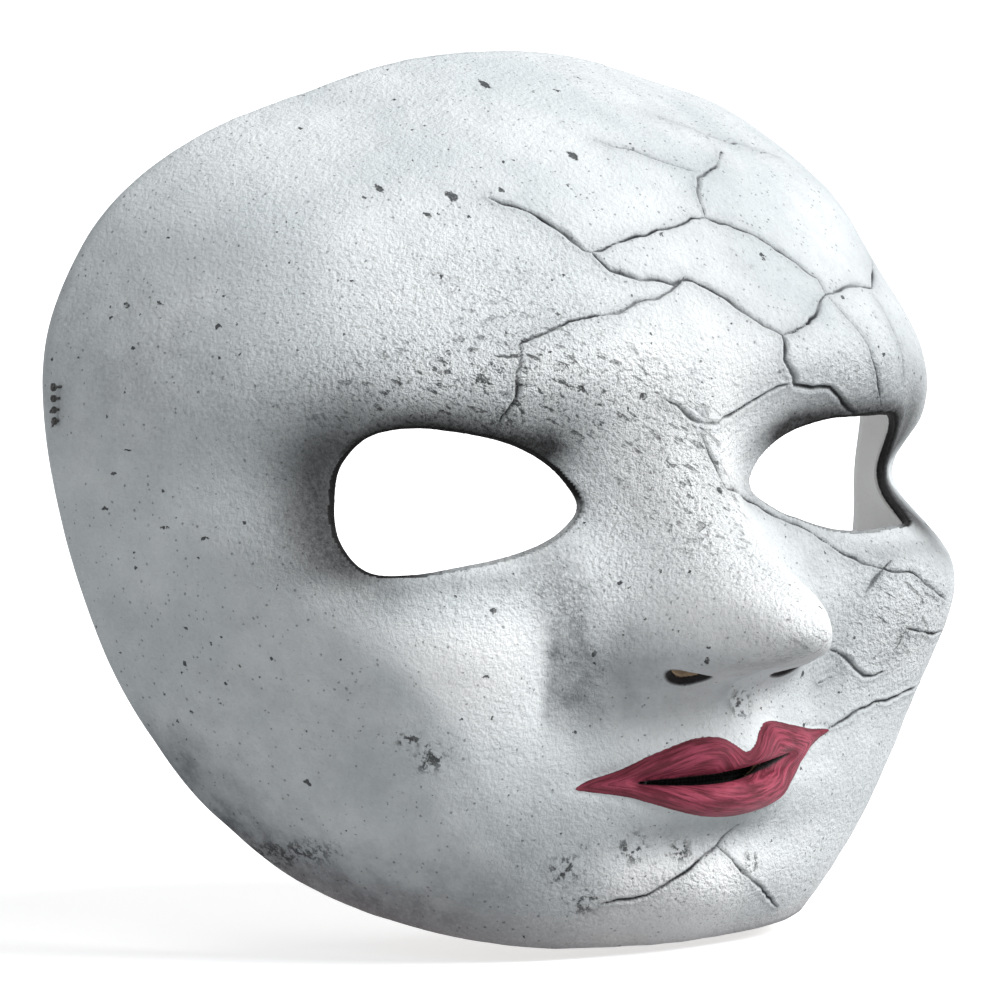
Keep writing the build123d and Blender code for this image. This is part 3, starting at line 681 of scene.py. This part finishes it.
def pattern(place, kind, scale, detail=2.0, roughness=0.5, output="Fac"):
    """A noise or cell pattern laid over a place."""
    node = add(place.id_data, "ShaderNodeTex" + kind, vector=place, scale=scale)
    for name, value in (("Detail", detail), ("Roughness", roughness)):
        if name in node.inputs:
            node.inputs[name].default_value = value
    return node.outputs[output]


def pushed(place, by, reach):
    """A place moved by a pattern's colour, as far as a reach along each axis."""
    return calculate("MULTIPLY_ADD", by, reach, place, kind="VectorMath", output="Vector")


def set_surface(shader, color, roughness, specular=0.5):
    """Fills in a shader's colour, its roughness and its shine."""
    for name, value in (("Base Color", color), ("Roughness", roughness), ("Specular IOR Level", specular)):
        fill(shader.inputs[name], value)


def set_bump(shader, height, distance, strength=0.9):
    """Lets a height roughen a surface."""
    bump = add(shader.id_data, "ShaderNodeBump", strength=strength, distance=distance)
    fill(bump.inputs["Height"], height)
    fill(shader.inputs["Normal"], bump.outputs["Normal"])


face_paint, shader, place = new_material("chalky_doll_face")
tree = face_paint.node_tree
clouds = between(pattern(place, "Noise", 28, 4), 0.35, 0.68)
fine_clouds = between(pattern(place, "Noise", 140, 4, 0.65), 0.35, 0.7)
grain = pattern(place, "Noise", 900, 6, 0.7)
coarse = pattern(place, "Noise", 1050, 3, 0.62)
roughness = painted(tree, "rough")

# specks of black paint, in three sizes
specks = []
for scale, size, share in ((140, 0.15, 0.76), (330, 0.17, 0.66), (800, 0.30, 0.62)):
    wobbly = pushed(place, pattern(place, "Noise", scale * 4.0, output="Color"), (0.5 / scale,) * 3)
    cells = add(tree, "ShaderNodeTexVoronoi", vector=wobbly, scale=scale)
    chance = tree.nodes.new("ShaderNodeSeparateColor")
    fill(chance.inputs["Color"], cells.outputs["Color"])
    dot = minus(times(chance.outputs["Green"], size), cells.outputs["Distance"])
    dot = between(dot, 0.0, size * 0.15)
    specks.append(times(dot, between(chance.outputs["Red"], share, share + 0.02)))
speck = larger(larger(specks[0], specks[1]), times(specks[2], 0.55))
# and a few larger blots and smudges: across and up in mm, and half their width
BLOTS = [(-7, 76, 1.2), (-42, 68, 1.3), (-12, 92.5, 1.1), (-55.5, 70, 0.9), (-49.5, 64, 0.8), (-13.5, 22, 1.1),
         (-57.5, -24, 0.9), (2, 0, 0.9), (-105, 44.5, 0.4), (-101, 45, 0.4), (-113, 6.5, 0.35), (-113.5, -1.5, 0.35),
         (-108, -5.5, 0.4), (-103.5, -7.5, 0.4), (-97.5, -4, 0.4), (-111.5, 12, 0.35)]
SMUDGES = [(-66.5, -58, 5), (-71, -53.5, 3), (-35, -85.5, 6), (4, -49, 5), (-20, -81, 6), (-8, -82.5, 4),
           (-76, -83, 6), (-29, -93, 6), (12, -87, 4)]
FRAY = 0.0018           # how far an outline is frayed, half of it to either side
SMALLEST_SMUDGE = 2
seen_flat = calculate("MULTIPLY", place, (1, 0, 1), kind="VectorMath", output="Vector")
frayed = pushed(seen_flat, pattern(place, "Noise", 900, 3, output="Color"), (FRAY, 0, FRAY))
dabs = between(pattern(place, "Noise", 480, 4, 0.7), 0.49, 0.58)
for across_mm, up_mm, half_width in BLOTS + SMUDGES:
    middle = (across_mm * MM + FRAY / 2, 0, up_mm * MM + FRAY / 2)
    apart = calculate("DISTANCE", frayed, middle, kind="VectorMath")
    if half_width < SMALLEST_SMUDGE:
        blot = between(apart, half_width * MM, half_width * MM / 1.4)
    else:
        blot = times(between(apart, half_width * MM, MM), dabs)
    speck = larger(speck, blot)
patches = between(pattern(place, "Noise", 17, 2), 0.60, 0.75)
smudge = times(patches, between(pattern(place, "Noise", 420, 6, 0.8), 0.52, 0.72))

# rough plaster: painted shade in its pits and slanting dents, a painted highlight on its grains, and roughest about
# the brow and nose
pit_share = plus(0.06, times(roughness, 0.74))
slanting = add(tree, "ShaderNodeMapping", vector_type="TEXTURE", vector=place,
               rotation=(0, math.radians(28), 0), scale=(3.2, 1.5, 1.0))
shaded_dents = between(pattern(slanting.outputs["Vector"], "Noise", 620, 3), 0.58, 0.65)
shaded_dents = times(shaded_dents, between(roughness, 0.15, 0.8))

# the lips: two reds in fine streaks from edge to edge, darker at the border
along = times(add(tree, "ShaderNodeSeparateXYZ", vector=place).outputs["X"], 0.09)
streak_place = add(tree, "ShaderNodeCombineXYZ", x=along, z=painted(tree, "lip_flow"))
streaks = pattern(streak_place.outputs["Vector"], "Noise", 1500, 4, 0.6)
lip_color = blend(between(streaks, 0.36, 0.64), (0.115, 0.009, 0.022, 1), (0.36, 0.055, 0.098, 1))
lip_color = blend(times(painted(tree, "lip_edge"), 0.55), lip_color, (0.09, 0.007, 0.014, 1))
on_lips = between(plus(painted(tree, "lips"), times(minus(grain, 0.5), 0.8)), 0.35, 0.65)

# inside, the latex is bare and tan, with the paint ending in the thickness of the wall
bare = blend(fine_clouds, (0.44, 0.31, 0.195, 1), (0.58, 0.44, 0.30, 1))
bare = blend(times(clouds, 0.3), bare, (0.34, 0.24, 0.15, 1))
dusted = times(painted(tree, "overspray"), plus(0.7, times(grain, 0.6)))
bare = blend(between(dusted, 0.03, 0.28), bare, (0.86, 0.87, 0.87, 1))
paint_end = plus(painted(tree, "inside"), times(minus(grain, 0.5), 0.25))
paint_end = plus(paint_end, times(painted(tree, "nostril_dark"), 0.35))
on_inside = between(paint_end, 0.62, 0.75)

# the painted shade, mottled
mottled_painted_shade = times(painted(tree, "shadow_wash"), plus(0.75, times(fine_clouds, 0.35)))
stain = times(times(painted(tree, "crack_stain"), plus(0.55, times(grain, 0.9))), 0.32)
airbrush_and_shade = times(painted(tree, "socket"), plus(0.8, times(grain, 0.4)))
faded = plus(0.55, times(between(pattern(place, "Noise", 90, 2), 0.35, 0.6), 0.45))
nostril_line = times(between(painted(tree, "nostril_dark"), 0.1, 0.9), between(painted(tree, "inside"), 0.75, 0.3))
hole_dark = larger(between(painted(tree, "mouth_dark"), 0.25, 0.9), nostril_line)
# the coats of paint over the chalky ground, each with the share of it that shows
COATS = [
    (times(fine_clouds, 0.22), (0.51, 0.541, 0.56, 1)),
    # painted highlight on the nose, the cheeks, the brow, the upper lip and the chin
    (painted(tree, "painted_highlight_coat"), (0.94, 0.955, 0.96, 1)),
    # painted shade in the folds, under the nose, on the jaw and the left side
    (mottled_painted_shade, (0.115, 0.125, 0.135, 1)),
    # the chin's tint, with painted shade along its lower edge
    (times(painted(tree, "chin_tint_and_shade"), 0.8), (0.27, 0.235, 0.24, 1)),
    (times(smudge, 0.5), (0.05, 0.055, 0.06, 1)),
    (times(speck, 0.9), (0.022, 0.024, 0.027, 1)),
    (stain, (0.22, 0.24, 0.25, 1)),
    # painted shade in the pits
    (times(between(coarse, 0.42, 0.35), pit_share), (0.08, 0.086, 0.09, 1)),
    # painted shade in the slanting dents
    (times(shaded_dents, 0.85), (0.06, 0.064, 0.068, 1)),
    # painted highlight on the grains
    (times(between(coarse, 0.50, 0.62), pit_share), (0.90, 0.93, 0.94, 1)),
    # the black airbrushing round the eyes, with painted shade under the brow and in the crease below
    (times(airbrush_and_shade, 0.96), (0.020, 0.019, 0.020, 1)),
    (between(painted(tree, "eye_edge"), 0.3, 0.8), (0.012, 0.011, 0.012, 1)),
    (times(between(painted(tree, "crack"), 0.25, 0.85), faded), (0.030, 0.032, 0.036, 1)),
    (on_lips, lip_color),
    (hole_dark, (0.012, 0.010, 0.011, 1)),
    (on_inside, bare),
]
color = blend(clouds, (0.613, 0.656, 0.67, 1), (0.757, 0.787, 0.797, 1))
for share, coat in COATS:
    color = blend(share, color, coat)
shine = minus(minus(0.88, times(on_lips, 0.30)), times(on_inside, 0.28))
set_surface(shader, color, plus(shine, times(fine_clouds, 0.07)), specular=0.3)

pit = between(pattern(place, "Voronoi", 620, output="Distance"), 0.0, 0.32)
grit = plus(times(grain, 0.8), times(pit, 0.3))
grit = plus(grit, times(pattern(place, "Noise", 700, 4, 0.6), 0.8))
grit = minus(grit, times(shaded_dents, 1.2))
grit = plus(grit, times(times(pattern(place, "Noise", 560, 3, 0.6), roughness), 1.1))
grit = minus(grit, times(speck, 0.5))
grit = plus(grit, times(coarse, plus(0.15, times(roughness, 4.2))))
grit = times(grit, minus(1.0, times(on_inside, 0.6)))
set_bump(shader, blend(on_lips, grit, times(streaks, 1.1), data_type="FLOAT"), 0.0009)
shell.data.materials.append(face_paint)
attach(shell, "mask")
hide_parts("face_shell")

# ---- The foam pads ----
# Blocks of charcoal open-cell foam, one at the brow, one at the chin and one on each
# cheek, cut to shape, with softened edges, and glued to the bare latex inside.
PAD_GRID = 0.0011       # between the points of a pad
foam, shader, place = new_material("charcoal_foam")
cells = pattern(place, "Voronoi", 1100, output="Distance")
torn = pattern(place, "Noise", 1900, 4, 0.7)
worn = between(pattern(place, "Noise", 70, 3), 0.4, 0.7)
# the pores darker than the foam between them: painted shade in the pores
foam_color = blend(between(cells, 0.05, 0.5), (0.012, 0.012, 0.013, 1), (0.060, 0.060, 0.066, 1))
foam_color = blend(times(worn, 0.35), foam_color, (0.105, 0.10, 0.098, 1))
set_surface(shader, foam_color, plus(0.82, times(torn, 0.15)), specular=0.2)
set_bump(shader, plus(times(cells, 1.2), times(torn, 0.5)), 0.0005)

for name, node in (("brow_pad", "forehead_pad"), ("chin_pad_foam", "chin_pad"),
                   ("left_cheek_pad", "cheek_pad_left"), ("right_cheek_pad", "cheek_pad_right")):
    pad = new_piece(name, frame["nodes"][node].data.copy())
    pad.data.materials.clear()
    pad.data.materials.append(foam)
    face_outwards(pad, join=0.00002)
    modify(pad, "REMESH", mode="VOXEL", voxel_size=PAD_GRID)
    modify(pad, "SMOOTH", factor=0.5, iterations=10)
    for vert in pad.data.vertices:
        swell = uneven(vert.co, 6, 0.22) + uneven(vert.co, 1.7, 0.10) - 0.12
        vert.co += vert.normal * swell * MM
    bpy.ops.object.shade_smooth()
    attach(pad, "mask")
    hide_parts(node)

# ---- The mouth gauze ----
# A strip of black cotton gauze with its corners cut round, glued behind the lips
# so that the mouth looks dark and still lets breath through.
weave = bpy.data.node_groups.new("plain_weave", "ShaderNodeTree")
for name in ("Across", "Along", "Pitch"):
    weave.interface.new_socket(name, in_out="INPUT", socket_type="NodeSocketFloat")
weave.interface.new_socket("Height", in_out="OUTPUT", socket_type="NodeSocketFloat")
ins, outs = weave.nodes.new("NodeGroupInput"), weave.nodes.new("NodeGroupOutput")
turns = [times(calculate("DIVIDE", ins.outputs[name], ins.outputs["Pitch"]), math.pi)
         for name in ("Across", "Along")]
waves = [calculate("SINE", turn) for turn in turns]
ribs = [calculate("ABSOLUTE", wave) for wave in waves]
over = calculate("GREATER_THAN", times(waves[0], waves[1]), 0)
fill(outs.inputs["Height"], plus(times(ribs[0], over), times(ribs[1], minus(1, over))))


def woven(tree, across, along, pitch):
    """The height of a woven cloth's threads, at places across and along it."""
    node = add(tree, "ShaderNodeGroup", node_tree=weave)
    for name, value in (("Across", across), ("Along", along), ("Pitch", pitch)):
        fill(node.inputs[name], value)
    return node.outputs["Height"]


def cloth_material(name, dark, light, sides, pitch, roughness):
    """A woven cloth, with its threads along two axes of the piece."""
    cloth, shader, place = new_material(name)
    cloudy = pattern(place, "Noise", 260, 3)
    axes = add(cloth.node_tree, "ShaderNodeSeparateXYZ", vector=place)
    sway = times(minus(cloudy, 0.5), pitch * 0.6)
    threads = woven(cloth.node_tree, plus(axes.outputs[sides[0]], sway), minus(axes.outputs[sides[1]], sway), pitch)
    # the threads lighter where they rise and darker where they sink: painted shade between the threads
    set_surface(shader, blend(times(threads, plus(0.5, cloudy)), dark, light), roughness, specular=0.2)
    set_bump(shader, plus(threads, times(pattern(place, "Noise", 3200), 0.35)), 0.0003)
    return cloth


def solid_tree(node):
    """The CAD solid, for finding where its faces are."""
    mesh = frame["nodes"][node].data
    return BVHTree.FromPolygons([v.co.copy() for v in mesh.vertices], [tuple(f.vertices) for f in mesh.polygons])


def cut_cloth(name, node, facing, cloth, thickness, corner, grid):
    """A cut of cloth laid through the middle of a thin CAD solid, seen along an axis."""
    inside_edge, step_in, most_steps = 0.0002, 0.0004, 12
    solid = solid_tree(node)
    low, high = (Vector(c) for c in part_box(node))
    a, b = [k for k in range(3) if k != facing]
    half = [(high[k] - low[k]) / 2 - inside_edge for k in (a, b)]
    bpy.ops.object.select_all(action="DESELECT")
    bpy.ops.mesh.primitive_grid_add(x_subdivisions=grid[0], y_subdivisions=grid[1], size=2)
    piece = bpy.context.object
    piece.name = name
    towards = Vector((0, 0, 0))
    towards[facing] = 1 if facing == 1 or low[facing] < -0.05 else -1
    for vert in piece.data.vertices:
        p, q = vert.co.x * half[0], vert.co.y * half[1]
        over_p, over_q = abs(p) - half[0] + corner, abs(q) - half[1] + corner
        if over_p > 0 and over_q > 0 and math.hypot(over_p, over_q) > corner:
            shrink = corner / math.hypot(over_p, over_q)
            p = math.copysign(half[0] - corner + over_p * shrink, p)
            q = math.copysign(half[1] - corner + over_q * shrink, q)
        at = (low + high) / 2
        at[a] += p
        at[b] += q
        at[facing] = -0.3 * towards[facing]
        # a point that misses the solid is moved towards its middle until it meets it
        for _ in range(most_steps + 1):
            front = solid.ray_cast(at, towards)[0]
            if front is not None:
                break
            at[a] += -step_in if p > 0 else step_in
            at[b] += -step_in if q > 0 else step_in
        back = solid.ray_cast(front + towards * 0.00005, towards)[0] or front
        vert.co = (front + back) / 2
        vert.co[a] = (low[a] + high[a]) / 2 + p
        vert.co[b] = (low[b] + high[b]) / 2 + q
        vert.co += towards * (uneven(vert.co, 5, 0.06) + uneven(vert.co, 1.2, 0.04)) * MM
    select_only(piece)
    modify(piece, "SOLIDIFY", thickness=thickness, offset=0)
    face_outwards(piece)
    bpy.ops.object.shade_smooth_by_angle(angle=math.radians(40))
    piece.data.materials.append(cloth)
    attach(piece, "mask")
    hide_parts(node)
    return piece


gauze_cloth = cloth_material("black_gauze", (0.006, 0.006, 0.006, 1), (0.030, 0.030, 0.032, 1), "XZ", 0.0009, 0.9)
gauze = cut_cloth("mouth_gauze_strip", "mouth_gauze", 1, gauze_cloth, 0.0004, 0.004, (90, 26))

# ---- The temple patches ----
# Squares of unbleached cotton drill glued inside the temples, so that the stitches
# of the strap don't tear out of the latex.
drill = cloth_material("cotton_drill", (0.22, 0.185, 0.13, 1), (0.56, 0.50, 0.40, 1), "YZ", 0.0007, 0.92)
for side in ("left", "right"):
    patch = cut_cloth("temple_patch_cloth_" + side, "temple_patch_" + side, 0, drill, 0.0007, 0.003, (36, 36))

# ---- The elastic strap ----
# One length of black woven elastic 12 mm wide. Its ends are sewn inside the temples,
# and it bows out behind the rim and round the back of the head.
BAND_HALF, BAND_THICK = 0.006, 0.0012
RIBS = 7                # cords along the band, in its width
BACK_OF_HEAD = 0.127
STRAIGHT = 0.009        # from the rim's edge to the corner where the band turns inwards
CORNER_RADII = (0.012, 0.062, 0.012)
ARC_STEPS, SECTION_STEPS, STATIONS = 24, 32, 380
FREE_OVER = 0.008       # the length in which the band leaves the latex
SEWN_MARGIN = 0.0002
end_low, end_high = (Vector(c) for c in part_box("strap_end_left"))
band_low, band_high = (Vector(c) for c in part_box("strap_band"))
pivot = Vector(frame["record"]["behaviour"]["joints"][0]["pos_m"])
band_z = pivot.z
band_x = band_high.x - BAND_THICK / 2 - 0.00005
turn_y = band_low.y + STRAIGHT
corners = [Vector((band_x, band_low.y)), Vector((band_x, turn_y)), Vector((0, BACK_OF_HEAD)),
           Vector((-band_x, turn_y)), Vector((-band_x, band_low.y))]
front_y = end_low.y + 0.0003
route = [Vector((band_x, front_y)), corners[0]]
for before, corner, after, radius in zip(corners, corners[1:], corners[2:], CORNER_RADII):
    to_start, to_end = (before - corner).normalized(), (after - corner).normalized()
    half_angle = to_start.angle(to_end) / 2
    centre = corner + (to_start + to_end).normalized() * radius / math.sin(half_angle)
    first = corner + to_start * radius / math.tan(half_angle)
    last = corner + to_end * radius / math.tan(half_angle)
    swing = (first - centre).angle_signed(last - centre)
    for k in range(ARC_STEPS + 1):
        turned = first - centre
        turned.rotate(Matrix.Rotation(-swing * k / ARC_STEPS, 2))
        route.append(centre + turned)
route += [corners[-1], Vector((-band_x, front_y))]
run = np.concatenate([[0], np.cumsum([(b - a).length for a, b in zip(route, route[1:])])])
even_run = np.linspace(0, run[-1], STATIONS)
line_x = np.interp(even_run, run, [p.x for p in route])
line_y = np.interp(even_run, run, [p.y for p in route])
section = []
for k in range(SECTION_STEPS + 1):
    w = -1 + 2 * k / SECTION_STEPS
    rib = 0.5 + 0.5 * math.cos(2 * math.pi * RIBS * (w + 1) / 2 + math.pi)
    section.append((w * BAND_HALF, BAND_THICK / 2 * (0.80 + 0.20 * rib) * (1 - 0.45 * abs(w) ** 14)))
outline = section + [(w, -t) for w, t in reversed(section)]
sewn = {1: solid_tree("strap_end_left"), -1: solid_tree("strap_end_right")}
strap_points, strap_places = [], []
for i in range(STATIONS):
    x, y = line_x[i], line_y[i]
    j, k = max(i - 1, 0), min(i + 1, STATIONS - 1)
    ahead = Vector((line_x[k] - line_x[j], line_y[k] - line_y[j], 0)).normalized()
    sideways = ahead.cross(Vector((0, 0, 1)))
    side = 1 if x > 0 else -1
    free = float(eased((y - end_high.y) / FREE_OVER)) if abs(x) > 0.09 else 1.0
    ripple = noise.noise((even_run[i] * 60, 0, 3)) * 0.0007 * free
    for w, t in outline:
        point = Vector((x, y, band_z + w)) + sideways * (t + ripple)
        if free < 1:
            # a sewn end follows the middle of its CAD solid, which lies along the latex
            at_y = min(max(y, end_low.y + SEWN_MARGIN), end_high.y - SEWN_MARGIN)
            at_z = band_z + max(min(w, BAND_HALF - SEWN_MARGIN), SEWN_MARGIN - BAND_HALF)
            outer = sewn[side].ray_cast(Vector((side * 0.3, at_y, at_z)), Vector((-side, 0, 0)))[0]
            inner = sewn[side].ray_cast(Vector((0, at_y, at_z)), Vector((side, 0, 0)))[0]
            if outer is not None and inner is not None:
                against = Vector(((outer.x + inner.x) / 2 + sideways.x * t, y, band_z + w))
                point = against.lerp(point, free)
        point.z += noise.noise((even_run[i] * 45, 5, 1)) * 0.0008 * free
        strap_points.append(point)
        strap_places.append((even_run[i], w))


def tube_faces(rings, around):
    """The faces of a tube made of rings of points, closed at both ends."""
    last = (rings - 1) * around
    faces = [(i + k, i + (k + 1) % around, i + around + (k + 1) % around, i + around + k)
             for i in range(0, last, around) for k in range(around)]
    return faces + [tuple(range(around)), tuple(last + k for k in reversed(range(around)))]


strap_mesh = bpy.data.meshes.new("elastic_strap")
strap_mesh.from_pydata(strap_points, [], tube_faces(STATIONS, len(outline)))
for column, name in enumerate(("along", "across")):
    values = strap_mesh.attributes.new(name, "FLOAT", "POINT")
    values.data.foreach_set("value", [place[column] for place in strap_places])
strap = new_piece("elastic_strap", strap_mesh)
face_outwards(strap)
bpy.ops.object.shade_smooth_by_angle(angle=math.radians(60))

elastic, shader, place = new_material("black_woven_elastic")
tree = elastic.node_tree
threads = woven(tree, painted(tree, "across"), painted(tree, "along"), 0.00065)
lint = between(pattern(place, "Noise", 1500, 3), 0.62, 0.75)
shade = blend(threads, (0.004, 0.004, 0.005, 1), (0.035, 0.035, 0.038, 1))
set_surface(shader, blend(times(lint, 0.25), shade, (0.12, 0.12, 0.12, 1)), 0.62, specular=0.35)
set_bump(shader, threads, 0.0003)
strap_mesh.materials.append(elastic)
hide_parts("strap_band", "strap_end_left", "strap_end_right")
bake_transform(strap)

# ---- The anchor stitches ----
# Four stitches of black waxed thread at each temple, through the strap, the patch
# and the latex, with a bar inside and a small wound knot on each outside.
STITCHES = 4
ROW_MARGIN = 0.0009     # from the row's ends to the first and last stitch
THREAD_RADIUS, THREAD_SIDES = 0.00036, 12
KNOT_RADIUS, KNOT_TURNS, KNOT_STEPS = 0.00052, 1.9, 39
waxed, shader, place = new_material("black_waxed_thread")
fibres = pattern(place, "Noise", 2600, 4, 0.7)
set_surface(shader, blend(fibres, (0.003, 0.003, 0.003, 1), (0.032, 0.031, 0.030, 1)), 0.5)
set_bump(shader, fibres, 0.0002, strength=0.8)


def twisted_thread(points):
    """The rings and faces of a two-ply thread along a line of points."""
    line = [Vector(p) for p in points]
    rings, travelled, normal = [], 0.0, None
    for i, p in enumerate(line):
        ahead = (line[min(i + 1, len(line) - 1)] - line[max(i - 1, 0)]).normalized()
        if normal is None:
            normal = ahead.orthogonal().normalized()
        normal = (normal - ahead * normal.dot(ahead)).normalized()
        other = ahead.cross(normal)
        travelled += (p - line[i - 1]).length if i else 0
        taper = min(1, 0.35 + min(i, len(line) - 1 - i) / 3)
        for k in range(THREAD_SIDES):
            angle = 2 * math.pi * k / THREAD_SIDES
            ply = 0.80 + 0.20 * abs(math.cos(angle - travelled / THREAD_RADIUS * 0.9))
            outwards = normal * math.cos(angle) + other * math.sin(angle)
            rings.append(p + outwards * THREAD_RADIUS * ply * taper)
    return rings, tube_faces(len(line), THREAD_SIDES)


for side_name, side in (("left", 1), ("right", -1)):
    low, high = (Vector(c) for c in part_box("anchor_stitches_" + side_name))
    inner_x, outer_x = (low.x, high.x) if side > 0 else (high.x, low.x)
    bar_x, knot_x, row_y = inner_x + side * 0.0006, outer_x - side * 0.0009, (low.y + high.y) / 2
    levels = np.linspace(low.z + ROW_MARGIN, high.z - ROW_MARGIN, STITCHES)
    bar_z = np.linspace(levels[0] - 0.0002, levels[-1] + 0.0002, 31)
    threads = [[(bar_x, row_y + 0.0002 * math.sin(k), bar_z[k]) for k in range(31)]]
    for n, level in enumerate(levels):
        path = [(bar_x + (knot_x - bar_x) * k / 24, row_y, level) for k in range(25)]
        lean = 0.5 * math.sin(n * 2.3 + side)
        for k in range(KNOT_STEPS + 1):
            turn = 2 * math.pi * KNOT_TURNS * k / KNOT_STEPS + n
            wide = KNOT_RADIUS * min(1, (k + 4) / 10) * (1 + 0.15 * math.sin(n * 5.1))
            path.append((knot_x + side * 0.00030 * math.sin(turn * 0.5),
                         row_y + wide * math.cos(turn) + 0.0001 * lean, level + wide * 1.15 * math.sin(turn)))
        tip, loose_end = Vector(path[-1]), Vector((side * 0.00008, 0.00012 * lean, -0.00016))
        path += [tuple(tip + loose_end * k) for k in range(1, 7)]
        threads.append(path)
    verts, faces = [], []
    for path in threads:
        rings, skin = twisted_thread(path)
        faces += [tuple(i + len(verts) for i in face) for face in skin]
        verts += rings
    stitch_mesh = bpy.data.meshes.new("temple_stitches_" + side_name)
    stitch_mesh.from_pydata(verts, [], faces)
    stitch_mesh.materials.append(waxed)
    stitches = new_piece("temple_stitches_" + side_name, stitch_mesh)
    face_outwards(stitches)
    bpy.ops.object.shade_smooth()
    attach(stitches, "mask")
    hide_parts("anchor_stitches_" + side_name)
